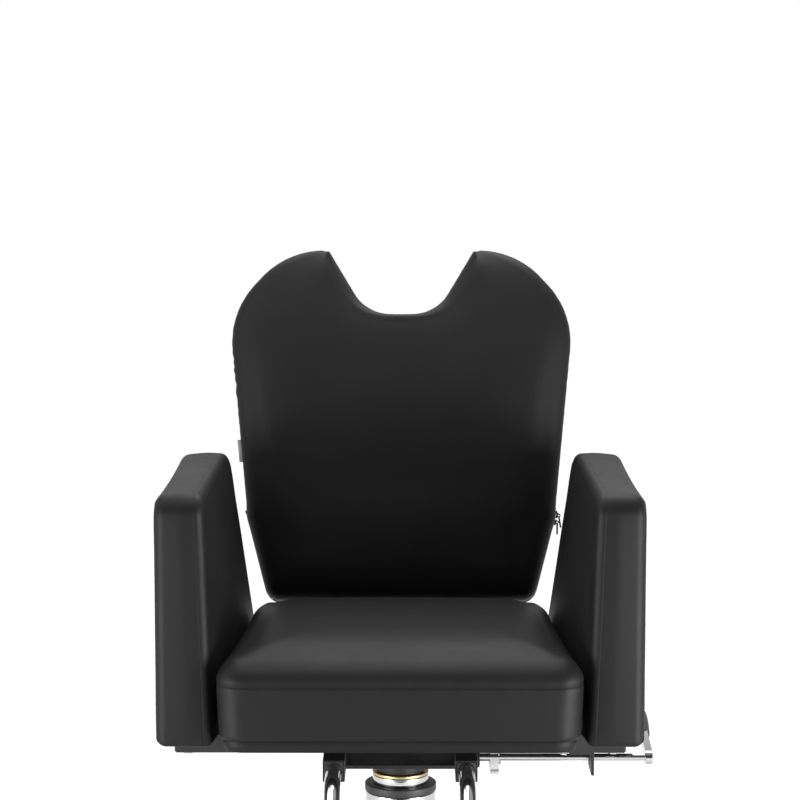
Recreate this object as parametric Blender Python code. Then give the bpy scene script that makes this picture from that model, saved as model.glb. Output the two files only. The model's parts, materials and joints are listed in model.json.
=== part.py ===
"""Hydraulic hairdressing chair with a reclining backrest that has a neck cut-out.

Metres, +Z up. The chair faces -Y. Z is the swivel axis, and the origin is on the floor under it.
The backrest is modelled upright in its own frame, which hangs on the recline hinge and leans back.
"""

import math

import bmesh
import bpy
from mathutils import Matrix, Vector

# Fits
SEAT_GAP = 0.0003
RUN_GAP = 0.0005

# Base and pump
BASE_RADIUS = 0.290
BASE_EDGE = 0.002
MAT_THICKNESS = 0.003
MAT_MARGIN = 0.004
PLATE_THICKNESS = 0.008
COVER_MARGIN = 0.006
COVER_WALL = 0.0015
COVER_RISE = 0.036
COVER_LIP = 0.004
COVER_SWEEP = 1.5
PUMP_RADIUS = 0.048
PUMP_FLOOR = 0.030
FLANGE_RADIUS = 0.078
FLANGE_THICKNESS = 0.010
GLAND_HEIGHT = 0.012
GLAND_OVERHANG = 0.003
SLEEVE_WALL = 0.0015
SLEEVE_HEIGHT = 0.105

# Lift and swivel
LIFT_STROKE = 0.140
RAM_GUIDE = 0.045
RAM_RADIUS = 0.025
RAM_REST_GAP = 0.0005
HEAD_RADIUS = 0.040
HEAD_THICKNESS = 0.012
SPIGOT_RADIUS = 0.016
SPIGOT_LENGTH = 0.024
WASHER_THICKNESS = 0.004
HUB_WALL = 0.018
HUB_TOP = 0.006

# Pump pedal
FORK_HEIGHT = 0.095
FORK_REACH = 0.034
FORK_WIDTH = 0.036
FORK_DEPTH = 0.040
PEDAL_THICKNESS = 0.012
PEDAL_EYE_RADIUS = 0.012
PEDAL_END_RADIUS = 0.008
PEDAL_LENGTH = 0.290
PEDAL_RISE = 0.020
PEDAL_PIN_RADIUS = 0.005
PEDAL_PIN_HEAD = 0.003
PAD_LENGTH = 0.075
PAD_WIDTH = 0.060
PAD_WALL = 0.006

# Seat frame
MOUNT_PLATE_DEPTH = 0.190
MOUNT_PLATE_THICKNESS = 0.006
RAIL_SPACING = 0.180
RAIL_WIDTH = 0.030
RAIL_HEIGHT = 0.030
RAIL_FRONT = -0.185
RAIL_REAR = 0.245
CROSS_DEPTH = 0.040
CROSS_HEIGHT = 0.025
CROSS_FRONT = -0.125
CROSS_REAR = 0.130
CROSS_INSET = 0.018
TUBE_WALL = 0.002
BOARD_THICKNESS = 0.015
BOARD_INSET = 0.008

# Seat cushion
SEAT_FRONT = -0.250
SEAT_REAR = 0.188
SEAT_THICKNESS = 0.104
SEAT_CROWN = 0.022
SEAT_SIDE_GAP = 0.004
SEAT_EDGE_RADIUS = 0.026
SEAT_CORNER_RADIUS = 0.035
SEAT_DRAW_IN = 0.004

# Arms
ARM_OUTER = 0.325
ARM_INNER_TOP = 0.260
ARM_HEIGHT = 0.341
ARM_FRONT = -0.215
ARM_REAR = 0.210
ARM_LEAN_FRONT = 0.012
ARM_LEAN_REAR = 0.050
ARM_OUTER_RADIUS = 0.018
ARM_INNER_RADIUS = 0.009
ARM_FOOT_RADIUS = 0.006
ARM_END_RADIUS = 0.016
ARM_CROWN = 0.003
CORE_THICKNESS = 0.018
CORE_OUTER_MARGIN = 0.024
CORE_TOP_MARGIN = 0.070
CORE_END_MARGIN = 0.040
BOLT_RADIUS = 0.004
BOLT_HEAD_RADIUS = 0.0075
BOLT_HEAD_HEIGHT = 0.005
BOLT_REACH = 0.030

# Recline hinge, in the right-hand stack from the rail outwards
RECLINE_Y = 0.225
RECLINE_RISE = 0.057
BACK_TILT = math.radians(14)
RECLINE_RANGE = math.radians(35)
BRACKET_THICKNESS = 0.005
BRACKET_FOOT = 0.024
BRACKET_EYE_RADIUS = 0.018
BAR_THICKNESS = 0.006
BAR_EYE_RADIUS = 0.018
BAR_END_RADIUS = 0.015
BAR_TOP = 0.300
PIN_RADIUS = 0.006
PIN_HEAD_RADIUS = 0.010
PIN_HEAD = 0.004
BUSH_WALL = 0.003
BUSH_FLANGE_RADIUS = 0.014
BUSH_FLANGE = 0.0015

# Backrest, heights measured up the backrest from the recline axis
BACK_BOTTOM = 0.078
BACK_TOP = 0.612
BACK_FRONT = -0.050
BACK_REAR = 0.040
BACK_HALF_BOTTOM = 0.200
BACK_HALF_ZIP = 0.232
BACK_HALF_TOP = 0.273
BACK_ZIP_HEIGHT = 0.200
BACK_FOOT_RADIUS = 0.025
BACK_WAIST_RADIUS = 0.030
SHOULDER_RADIUS = 0.140
NECK_HALF_TOP = 0.1113
NECK_HALF_FLOOR = 0.052
NECK_DEPTH = 0.098
NECK_FLOOR_RADIUS = 0.066
NECK_TIP_RADIUS = 0.010
NECK_TIP_EDGE = 0.006
NECK_TIP_FADE = 0.060
BACK_FRONT_RADIUS = 0.020
BACK_REAR_RADIUS = 0.010
BACK_CROWN = 0.014
BACK_CROWN_HEIGHT = 0.215
BACK_STEP = 0.048
BACK_BOARD_HALF = 0.165
BACK_BOARD_THICKNESS = 0.015
BACK_BOARD_TOP = 0.480
BACK_BOARD_LIFT = 0.008

# Recline strut and its release
CRANK_RADIUS = 0.070
CRANK_THICKNESS = 0.006
CRANK_END_RADIUS = 0.013
STRUT_FRONT_Y = -0.045
STRUT_DROP = 0.003
STRUT_EYE_THICKNESS = 0.012
STRUT_EYE_RADIUS = 0.016
STRUT_SWING_GAP = 0.0038
STRUT_PIN_RADIUS = 0.005
STRUT_BODY_RADIUS = 0.014
STRUT_ROD_RADIUS = 0.006
STRUT_ROD_OVERLAP = 0.105
STRUT_END_WALL = 0.017
STRUT_NECK = 0.026
STRUT_NECK_HALF = 0.010
HEAD_BLOCK = 0.012
HEAD_FRONT = 0.034
RELEASE_RADIUS = 0.004
RELEASE_LENGTH = 0.022
RELEASE_PROUD = 0.010
RELEASE_TRAVEL = 0.0064
LUG_THICKNESS = 0.005
LUG_RADIUS = 0.014
LEVER_SHAFT_RADIUS = 0.005
LEVER_RISE = 0.014
LEVER_FINGER = 0.009
LEVER_FINGER_LENGTH = 0.020
LEVER_BRACKET_X = 0.262
LEVER_BRACKET_THICKNESS = 0.004
LEVER_BRACKET_DEPTH = 0.030
LEVER_STANDOFF = 0.020
LEVER_LENGTH = 0.150
LEVER_BEND = 0.022
GRIP_LENGTH = 0.085
GRIP_RADIUS = 0.011
GRIP_NECK_RADIUS = 0.009
GRIP_NOSE_RADIUS = 0.007

# Footrest
LEG_RADIUS = 0.011
LEG_ENGAGEMENT = 0.060
LEG_STRAIGHT = 0.070
FOOT_Y = -0.390
FOOT_Z = 0.185
FOOT_BAR_RADIUS = 0.0125
FOOT_BAR_HALF = 0.165
FOOT_GRIP_WALL = 0.003
FOOT_GRIP_MARGIN = 0.004

# Zip and label
ZIP_Y = 0.0245
ZIP_WIDTH = 0.008
ZIP_THICKNESS = 0.002
ZIP_END_RISE = 0.016
SLIDER_LENGTH = 0.009
SLIDER_WIDTH = 0.010
SLIDER_THICKNESS = 0.003
SLIDER_PITCH = 0.011
PULL_LENGTH = 0.018
PULL_WIDTH = 0.004
PULL_THICKNESS = 0.0018
PULL_GAP = 0.001
LABEL_Y = -0.022
LABEL_FOOT = 0.288
LABEL_LENGTH = 0.034
LABEL_REACH = 0.005
LABEL_THICKNESS = 0.0008

# Facets
SMALL = 10
COARSE = 20
MEDIUM = 28
FINE = 48
ARC_STEPS = 5
TIGHT_STEPS = 3
SIDE_PIECES = 5
COVER_RINGS = 5
BEND_STEPS = 6
ARM_STATIONS = (0.35, 0.65)
CROWN_RINGS = (0.2, 0.45, 0.7)
STEPS_PER_ROOT_METRE = 26
SHARP_ANGLE = math.radians(35)

# Levels that follow from the sizes above, from the floor up
PLATE_BOTTOM = MAT_THICKNESS + SEAT_GAP
PLATE_TOP = PLATE_BOTTOM + PLATE_THICKNESS
PUMP_BOTTOM = PLATE_TOP + SEAT_GAP
PUMP_BORE_FLOOR = PUMP_BOTTOM + PUMP_FLOOR
PUMP_TOP = PUMP_BORE_FLOOR + RAM_REST_GAP + LIFT_STROKE + RAM_GUIDE
GLAND_BOTTOM = PUMP_TOP + SEAT_GAP
GLAND_TOP = GLAND_BOTTOM + GLAND_HEIGHT
RAM_BOTTOM = PUMP_BORE_FLOOR + RAM_REST_GAP
HEAD_BOTTOM = GLAND_TOP + SEAT_GAP
HEAD_TOP = HEAD_BOTTOM + HEAD_THICKNESS
WASHER_BOTTOM = HEAD_TOP + SEAT_GAP
WASHER_TOP = WASHER_BOTTOM + WASHER_THICKNESS
HUB_BOTTOM = WASHER_TOP + SEAT_GAP
SPIGOT_TOP = HEAD_TOP + SPIGOT_LENGTH
HUB_CEILING = SPIGOT_TOP + SEAT_GAP
MOUNT_BOTTOM = HUB_CEILING + HUB_TOP + SEAT_GAP
RAIL_BOTTOM = MOUNT_BOTTOM + MOUNT_PLATE_THICKNESS + SEAT_GAP
RAIL_TOP = RAIL_BOTTOM + RAIL_HEIGHT
CROSS_BOTTOM = RAIL_TOP + SEAT_GAP
CROSS_TOP = CROSS_BOTTOM + CROSS_HEIGHT
BOARD_BOTTOM = CROSS_TOP + SEAT_GAP
BOARD_TOP = BOARD_BOTTOM + BOARD_THICKNESS
SEAT_BOTTOM = BOARD_TOP + SEAT_GAP
SEAT_TOP = SEAT_BOTTOM + SEAT_THICKNESS
ARM_BOTTOM = CROSS_TOP + SEAT_GAP
ARM_TOP = ARM_BOTTOM + ARM_HEIGHT

# Places across the chair, from the middle to the right
RAIL_X = RAIL_SPACING / 2
RAIL_OUTER = RAIL_X + RAIL_WIDTH / 2
BRACKET_X = RAIL_OUTER + SEAT_GAP
BUSH_X = BRACKET_X + BRACKET_THICKNESS + SEAT_GAP
BAR_X = BUSH_X + BUSH_FLANGE + SEAT_GAP
CRANK_X = BAR_X + BAR_THICKNESS + SEAT_GAP
STRUT_X = CRANK_X + CRANK_THICKNESS + SEAT_GAP + STRUT_EYE_THICKNESS / 2
CORE_OUTER = ARM_OUTER - CORE_OUTER_MARGIN
CORE_X = CORE_OUTER - CORE_THICKNESS / 2
LEVER_REACH = ARM_OUTER + LEVER_STANDOFF

# Recline linkage
RECLINE_Z = RAIL_TOP + RECLINE_RISE
CRANK_ANGLE = RECLINE_RANGE / 2
CRANK_PIN_Y = RECLINE_Y + CRANK_RADIUS * math.sin(CRANK_ANGLE)
CRANK_PIN_Z = RECLINE_Z - CRANK_RADIUS * math.cos(CRANK_ANGLE)
STRUT_FRONT_Z = RAIL_BOTTOM - STRUT_DROP
STRUT_SPAN = math.hypot(CRANK_PIN_Y - STRUT_FRONT_Y, CRANK_PIN_Z - STRUT_FRONT_Z)
STRUT_ANGLE = math.atan2(CRANK_PIN_Z - STRUT_FRONT_Z, CRANK_PIN_Y - STRUT_FRONT_Y)
STRUT_STROKE = 2 * CRANK_RADIUS * math.sin(CRANK_ANGLE)
STRUT_BODY_LENGTH = STRUT_ROD_OVERLAP + STRUT_STROKE + STRUT_END_WALL
STRUT_BODY_START = STRUT_SPAN - STRUT_NECK - STRUT_BODY_LENGTH
RELEASE_TIP = -HEAD_FRONT - RELEASE_PROUD
LEVER_Y = STRUT_FRONT_Y + RELEASE_TIP - SEAT_GAP - LEVER_FINGER / 2
LEVER_Z = STRUT_FRONT_Z + LEVER_RISE

ALONG_X = Matrix.Rotation(math.pi / 2, 4, "Y")
ALONG_Y = Matrix.Rotation(-math.pi / 2, 4, "X")


def clear_scene():
    """Removes every object that the scene starts with."""
    for thing in list(bpy.data.objects):
        bpy.data.objects.remove(thing, do_unlink=True)


def finish(name, colour, roughness, metallic=0.0):
    """A plain material of one colour."""
    material = bpy.data.materials.new(name)
    material.use_nodes = True
    shader = material.node_tree.nodes["Principled BSDF"]
    shader.inputs["Base Color"].default_value = (*colour, 1.0)
    shader.inputs["Roughness"].default_value = roughness
    shader.inputs["Metallic"].default_value = metallic
    return material


def frame_empty(name, location=(0, 0, 0), rotation=(0, 0, 0), parent=None):
    """An empty on a joint's axis, which carries the pieces of one body."""
    empty = bpy.data.objects.new(name, None)
    empty.location = location
    empty.rotation_euler = rotation
    empty.parent = parent
    bpy.context.scene.collection.objects.link(empty)
    return empty


def solid(name, shape, material, parent):
    """Turns a bmesh into a named object with its material, shaded smooth between sharp edges."""
    bmesh.ops.recalc_face_normals(shape, faces=shape.faces)
    mesh = bpy.data.meshes.new(name)
    shape.to_mesh(mesh)
    shape.free()
    mesh.shade_smooth()
    mesh.set_sharp_from_angle(angle=SHARP_ANGLE)
    mesh.materials.append(material)
    thing = bpy.data.objects.new(name, mesh)
    thing.parent = parent
    bpy.context.scene.collection.objects.link(thing)
    return thing


def combine(target, shape, operation):
    """Cuts a shape from a piece, or joins it on, in the piece's own frame."""
    tool_name = f"{target.name}_{operation.lower()}_{len(target.modifiers)}"
    tool = solid(tool_name, shape, target.data.materials[0], target.parent)
    tool.hide_render = True
    tool.display_type = "WIRE"
    modifier = target.modifiers.new(tool_name, "BOOLEAN")
    modifier.operation = operation
    modifier.object = tool


def loft(rings):
    """A closed skin over rings of points; a ring of one point closes an end as a fan."""
    shape = bmesh.new()
    levels = [[shape.verts.new(point) for point in ring] for ring in rings]
    for ring, following in zip(levels, levels[1:]):
        count = max(len(ring), len(following))
        for index in range(count):
            corners = [ring[index % len(ring)], ring[(index + 1) % len(ring)]]
            corners += [following[(index + 1) % len(following)], following[index % len(following)]]
            shape.faces.new(list(dict.fromkeys(corners)))
    for ring in (levels[0], levels[-1]):
        if len(ring) > 1:
            shape.faces.new(ring)
    return shape


def turned(profile, segments, place=Matrix.Identity(4)):
    """A solid turned about Z from a closed loop of (radius, height) points, then placed."""
    shape = bmesh.new()
    rings = []
    for radius, height in profile:
        turns = segments if radius > 0 else 1
        angles = [2 * math.pi * index / segments for index in range(turns)]
        ring = [(radius * math.cos(a), radius * math.sin(a), height) for a in angles]
        rings.append([shape.verts.new(point) for point in ring])
    for ring, following in zip(rings, rings[1:] + rings[:1]):
        if len(ring) == 1 and len(following) == 1:
            continue
        for index in range(segments):
            corners = [ring[index % len(ring)], ring[(index + 1) % len(ring)]]
            corners += [following[(index + 1) % len(following)], following[index % len(following)]]
            shape.faces.new(list(dict.fromkeys(corners)))
    bmesh.ops.transform(shape, matrix=place, verts=shape.verts)
    return shape


def rod(radius, low, high, segments=COARSE, place=Matrix.Identity(4)):
    """A plain cylinder along Z, then placed."""
    return turned([(0, low), (radius, low), (radius, high), (0, high)], segments, place)


def tube(inner, outer, low, high, segments=COARSE, place=Matrix.Identity(4)):
    """A ring or tube along Z, then placed."""
    return turned([(inner, low), (outer, low), (outer, high), (inner, high)], segments, place)


def block(low, high):
    """A box between two corners."""
    shape = bmesh.new()
    bmesh.ops.create_cube(shape, size=1)
    for corner in shape.verts:
        corner.co = Vector([low[i] if corner.co[i] < 0 else high[i] for i in range(3)])
    return shape


def prism(outline, low, high, axis):
    """An outline extruded along X, Y or Z; it lies in the other two axes, in that order."""
    def lifted(point, level):
        coordinates = list(point)
        coordinates.insert("XYZ".index(axis), level)
        return Vector(coordinates)
    return loft([[lifted(point, low) for point in outline], [lifted(point, high) for point in outline]])


def box_tube(low, high, wall, axis):
    """A rectangular tube along X or Y, open at both ends."""
    across = 1 - "XY".index(axis)
    along = "XY".index(axis)

    def ring(inset, level):
        points = []
        for side, up in ((0, 0), (1, 0), (1, 1), (0, 1)):
            point = [0, 0, (low[2] + inset, high[2] - inset)[up]]
            point[across] = (low[across] + inset, high[across] - inset)[side]
            point[along] = level
            points.append(Vector(point))
        return points
    rings = [ring(0, low[along]), ring(0, high[along]), ring(wall, high[along]), ring(wall, low[along])]
    shape = bmesh.new()
    levels = [[shape.verts.new(point) for point in points] for points in rings]
    for near, far in zip(levels, levels[1:] + levels[:1]):
        for index in range(4):
            following = (index + 1) % 4
            shape.faces.new((near[index], near[following], far[following], far[index]))
    return shape


def arc(centre, radius, start, end, steps):
    """Points along an arc, both ends included."""
    angles = [start + (end - start) * index / steps for index in range(steps + 1)]
    return [(centre[0] + radius * math.cos(a), centre[1] + radius * math.sin(a)) for a in angles]


def link(near, near_radius, far, far_radius):
    """The outline of a flat link: two round ends and their common tangents."""
    heading = math.atan2(far[1] - near[1], far[0] - near[0])
    spread = math.acos((near_radius - far_radius) / math.dist(near, far))
    steps = 2 * ARC_STEPS
    far_end = arc(far, far_radius, heading - spread, heading + spread, steps)
    return far_end + arc(near, near_radius, heading + spread, heading + 2 * math.pi - spread, steps)


def rounded(corners, steps=None):
    """A closed outline from (x, y, fillet radius) corners; wide fillets get more steps unless told."""
    points = []
    for index, (x, y, radius) in enumerate(corners):
        here = Vector((x, y))
        before = (Vector(corners[index - 1][:2]) - here).normalized()
        after = (Vector(corners[(index + 1) % len(corners)][:2]) - here).normalized()
        half = before.angle(after) / 2
        centre = here + (before + after).normalized() * (radius / math.sin(half))
        start = here + before * (radius / math.tan(half)) - centre
        end = here + after * (radius / math.tan(half)) - centre
        turn = math.atan2(start.cross(end), start.dot(end))
        first = math.atan2(start.y, start.x)
        by_radius = max(TIGHT_STEPS, round(STEPS_PER_ROOT_METRE * math.sqrt(radius)))
        points += arc(centre, radius, first, first + turn, steps or by_radius)
    return points


def split_runs(outline, arc_points, pieces):
    """The same outline with the straight run after each arc cut into equal pieces."""
    points = []
    for index, (here, following) in enumerate(zip(outline, outline[1:] + outline[:1])):
        cuts = pieces if (index + 1) % arc_points == 0 else 1
        points += [tuple(Vector(here).lerp(Vector(following), cut / cuts)) for cut in range(cuts)]
    return points


def subdivided(outline, step):
    """The same outline with its long runs cut to a step or less."""
    points = []
    for here, following in zip(outline, outline[1:] + outline[:1]):
        pieces = max(1, math.ceil(math.dist(here, following) / step))
        for index in range(pieces):
            share = index / pieces
            points.append(tuple(a + (b - a) * share for a, b in zip(here, following)))
    return points


def outward_normals(outline):
    """Unit normals of an anticlockwise outline, averaged at each point."""
    normals = []
    for index, here in enumerate(outline):
        before = Vector(here) - Vector(outline[index - 1])
        after = Vector(outline[(index + 1) % len(outline)]) - Vector(here)
        heading = before.normalized() + after.normalized()
        normals.append(Vector((heading.y, -heading.x)).normalized())
    return normals


def bent_bar(points, radius):
    """A round bar along a polyline that lies in an upright plane across X."""
    sideways = Vector((1, 0, 0))
    rings = []
    for index, point in enumerate(points):
        before, after = points[max(index - 1, 0)], points[min(index + 1, len(points) - 1)]
        upright = (after - before).normalized().cross(sideways)
        angles = [2 * math.pi * turn / COARSE for turn in range(COARSE)]
        rings.append([point + radius * (math.cos(a) * sideways + math.sin(a) * upright) for a in angles])
    return loft(rings)


def bent_path(corners, radius):
    """A polyline in space through corners, each inner corner bent to a radius."""
    points = [Vector(corners[0])]
    for before, here, after in zip(corners, corners[1:], corners[2:]):
        into = (Vector(before) - Vector(here)).normalized()
        out = (Vector(after) - Vector(here)).normalized()
        half = into.angle(out) / 2
        reach = radius / math.tan(half)
        centre = Vector(here) + (into + out).normalized() * (radius / math.sin(half))
        start = (Vector(here) + into * reach - centre).normalized()
        end = (Vector(here) + out * reach - centre).normalized()
        points += [centre + radius * start.slerp(end, index / BEND_STEPS) for index in range(BEND_STEPS + 1)]
    return points + [Vector(corners[-1])]


def arm_inner(y, z):
    """How far from the middle the arm's leaning inner side is."""
    share = (y - ARM_FRONT) / (ARM_REAR - ARM_FRONT)
    lean = ARM_LEAN_FRONT + (ARM_LEAN_REAR - ARM_LEAN_FRONT) * share
    return ARM_INNER_TOP - lean * (ARM_TOP - z) / ARM_HEIGHT


def make_base(body, finishes):
    """Floor mat, weighted plate, domed cover and the pump that stands on them."""
    steel, chrome, rubber = finishes["steel"], finishes["chrome"], finishes["rubber"]
    mat_radius = BASE_RADIUS - MAT_MARGIN
    solid("base_mat", rod(mat_radius, 0, MAT_THICKNESS, FINE), rubber, body)
    plate = [(0, PLATE_BOTTOM), (BASE_RADIUS, PLATE_BOTTOM), (BASE_RADIUS, PLATE_TOP - BASE_EDGE)]
    plate += [(BASE_RADIUS - BASE_EDGE, PLATE_TOP), (0, PLATE_TOP)]
    solid("base_plate", turned(plate, FINE), steel, body)

    rim = BASE_RADIUS - COVER_MARGIN
    collar = PUMP_RADIUS + SEAT_GAP
    foot = PLATE_TOP + SEAT_GAP
    dome = []
    for index in range(COVER_RINGS + 1):
        share = index / COVER_RINGS
        dome.append((rim + (collar - rim) * share, foot + COVER_LIP + COVER_RISE * share ** COVER_SWEEP))
    lining = [(radius - COVER_WALL, height - COVER_WALL) for radius, height in dome[:-1]]
    lining.append((collar, dome[-1][1] - COVER_WALL))
    cover = [(rim, foot)] + dome + lining[::-1] + [(rim - COVER_WALL, foot)]
    solid("base_cover", turned(cover, FINE), chrome, body)

    bore = RAM_RADIUS + RUN_GAP
    flange_top = PUMP_BOTTOM + FLANGE_THICKNESS
    pump = [(0, PUMP_BOTTOM), (FLANGE_RADIUS, PUMP_BOTTOM), (FLANGE_RADIUS, flange_top)]
    pump += [(PUMP_RADIUS, flange_top), (PUMP_RADIUS, PUMP_TOP), (bore, PUMP_TOP)]
    pump += [(bore, PUMP_BORE_FLOOR), (0, PUMP_BORE_FLOOR)]
    solid("pump_cylinder", turned(pump, MEDIUM), finishes["black_metal"], body)
    sleeve_inner = PUMP_RADIUS + SEAT_GAP
    sleeve = tube(sleeve_inner, sleeve_inner + SLEEVE_WALL, PUMP_TOP - SLEEVE_HEIGHT, PUMP_TOP, MEDIUM)
    solid("pump_sleeve", sleeve, chrome, body)
    gland = tube(bore, PUMP_RADIUS + GLAND_OVERHANG, GLAND_BOTTOM, GLAND_TOP, MEDIUM)
    solid("pump_gland", gland, finishes["plastic"], body)


def make_pedal(base, pedal, finishes):
    """The fork on the pump, its pin, and the foot lever with a rubber pad."""
    half = FORK_WIDTH / 2
    pivot_y = PUMP_RADIUS + FORK_REACH - PEDAL_EYE_RADIUS
    low = (-half, 0, FORK_HEIGHT - FORK_DEPTH / 2)
    high = (half, PUMP_RADIUS + FORK_REACH, FORK_HEIGHT + FORK_DEPTH / 2)
    fork = solid("pedal_fork", block(low, high), finishes["black_metal"], base)
    combine(fork, rod(PUMP_RADIUS + SEAT_GAP, 0, 2 * FORK_HEIGHT, MEDIUM), "DIFFERENCE")
    slot = PEDAL_THICKNESS / 2 + RUN_GAP
    slot_start = pivot_y - PEDAL_EYE_RADIUS - RUN_GAP
    slot_low = (-slot, slot_start, FORK_HEIGHT - FORK_DEPTH)
    combine(fork, block(slot_low, (slot, 2 * pivot_y, FORK_HEIGHT + FORK_DEPTH)), "DIFFERENCE")
    place = Matrix.Translation((0, pivot_y, FORK_HEIGHT)) @ ALONG_X
    combine(fork, rod(PEDAL_PIN_RADIUS + SEAT_GAP, -FORK_WIDTH, FORK_WIDTH, COARSE, place), "DIFFERENCE")

    reach = half + SEAT_GAP
    head_radius = PEDAL_PIN_RADIUS + PEDAL_PIN_HEAD
    pin = [(0, -reach), (PEDAL_PIN_RADIUS, -reach), (PEDAL_PIN_RADIUS, reach), (head_radius, reach)]
    pin += [(head_radius, reach + PEDAL_PIN_HEAD), (0, reach + PEDAL_PIN_HEAD)]
    solid("pedal_pin", turned(pin, COARSE, place), finishes["steel"], base)

    end = (PEDAL_LENGTH, PEDAL_RISE)
    arm = prism(link((0, 0), PEDAL_EYE_RADIUS, end, PEDAL_END_RADIUS), -PEDAL_THICKNESS / 2,
                PEDAL_THICKNESS / 2, "X")
    arm = solid("pedal_arm", arm, finishes["chrome"], pedal)
    bore = rod(PEDAL_PIN_RADIUS + RUN_GAP, -FORK_WIDTH, FORK_WIDTH, COARSE, ALONG_X)
    combine(arm, bore, "DIFFERENCE")

    pad_centre = PEDAL_LENGTH + PEDAL_END_RADIUS + PAD_WALL - PAD_LENGTH / 2
    pad_low = pad_centre - PAD_LENGTH / 2
    pad_high = pad_centre + PAD_LENGTH / 2
    top = PEDAL_RISE + PEDAL_END_RADIUS + PAD_WALL
    bottom = PEDAL_RISE - PEDAL_END_RADIUS - PAD_WALL
    corner = PAD_WALL
    outline = rounded([(pad_low, bottom, corner), (pad_high, bottom, corner), (pad_high, top, corner),
                       (pad_low, top, corner)], TIGHT_STEPS)
    pad = solid("pedal_pad", prism(outline, -PAD_WIDTH / 2, PAD_WIDTH / 2, "X"), finishes["rubber"], pedal)
    socket = link((0, 0), PEDAL_EYE_RADIUS + SEAT_GAP, end, PEDAL_END_RADIUS + SEAT_GAP)
    socket_half = PEDAL_THICKNESS / 2 + SEAT_GAP
    combine(pad, prism(socket, -socket_half, socket_half, "X"), "DIFFERENCE")


def make_lift(body, finishes):
    """The ram with its head and spigot, and the washer that the seat turns on."""
    ram = [(0, RAM_BOTTOM), (RAM_RADIUS, RAM_BOTTOM), (RAM_RADIUS, HEAD_BOTTOM)]
    ram += [(HEAD_RADIUS, HEAD_BOTTOM), (HEAD_RADIUS, HEAD_TOP), (SPIGOT_RADIUS, HEAD_TOP)]
    ram += [(SPIGOT_RADIUS, SPIGOT_TOP), (0, SPIGOT_TOP)]
    solid("pump_ram", turned(ram, MEDIUM), finishes["chrome"], body)
    washer = tube(SPIGOT_RADIUS + RUN_GAP, HEAD_RADIUS, WASHER_BOTTOM, WASHER_TOP, MEDIUM)
    solid("swivel_washer", washer, finishes["bronze"], body)


def make_seat_frame(body, finishes):
    """Swivel hub, mount plate and the welded tubes that carry the seat and the arms."""
    black = finishes["black_metal"]
    bore = SPIGOT_RADIUS + RUN_GAP
    hub_radius = bore + HUB_WALL
    hub_top = HUB_CEILING + HUB_TOP
    hub = [(bore, HUB_BOTTOM), (hub_radius, HUB_BOTTOM), (hub_radius, hub_top), (0, hub_top)]
    hub += [(0, HUB_CEILING), (bore, HUB_CEILING)]
    solid("swivel_hub", turned(hub, MEDIUM), black, body)
    half_depth = MOUNT_PLATE_DEPTH / 2
    plate = block((-RAIL_OUTER, -half_depth, MOUNT_BOTTOM),
                  (RAIL_OUTER, half_depth, MOUNT_BOTTOM + MOUNT_PLATE_THICKNESS))
    solid("mount_plate", plate, black, body)

    for side, name in ((-1, "left"), (1, "right")):
        low = (side * RAIL_X - RAIL_WIDTH / 2, RAIL_FRONT, RAIL_BOTTOM)
        high = (side * RAIL_X + RAIL_WIDTH / 2, RAIL_REAR, RAIL_TOP)
        solid(f"rail_{name}", box_tube(low, high, TUBE_WALL, "Y"), black, body)

    reach = ARM_OUTER - CROSS_INSET
    for middle, name in ((CROSS_FRONT, "front"), (CROSS_REAR, "rear")):
        low = (-reach, middle - CROSS_DEPTH / 2, CROSS_BOTTOM)
        high = (reach, middle + CROSS_DEPTH / 2, CROSS_TOP)
        cross = solid(f"cross_rail_{name}", box_tube(low, high, TUBE_WALL, "X"), black, body)
        for side in (-1, 1):
            hole = bolt_hole(side * CORE_X, middle, CROSS_BOTTOM - CROSS_HEIGHT, CROSS_TOP + CROSS_HEIGHT)
            combine(cross, hole, "DIFFERENCE")


def bolt_hole(x, y, low, high):
    """The clearance hole of an arm bolt."""
    return rod(BOLT_RADIUS + SEAT_GAP, low, high, COARSE, Matrix.Translation((x, y, 0)))


def seat_plan(z, inset):
    """The seat's outline at a height, as wide as the arms leave it, with drawn-in sides."""
    margin = SEAT_SIDE_GAP + inset
    front, rear = SEAT_FRONT + inset, SEAT_REAR - inset
    half_front = arm_inner(ARM_FRONT, z) - margin
    half_rear = arm_inner(rear, z) - margin
    radius = max(SEAT_CORNER_RADIUS - inset, SEAT_GAP)
    corners = [(half_rear, rear, radius), (-half_rear, rear, radius)]
    corners += [(-half_front, front, radius), (half_front, front, radius)]
    plan = split_runs(rounded(corners, TIGHT_STEPS), TIGHT_STEPS + 1, SIDE_PIECES)
    drawn = []
    for x, y in plan:
        share = (y - front) / (rear - front)
        drawn.append((x - math.copysign(SEAT_DRAW_IN * math.sin(math.pi * share), x), y))
    return drawn


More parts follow.
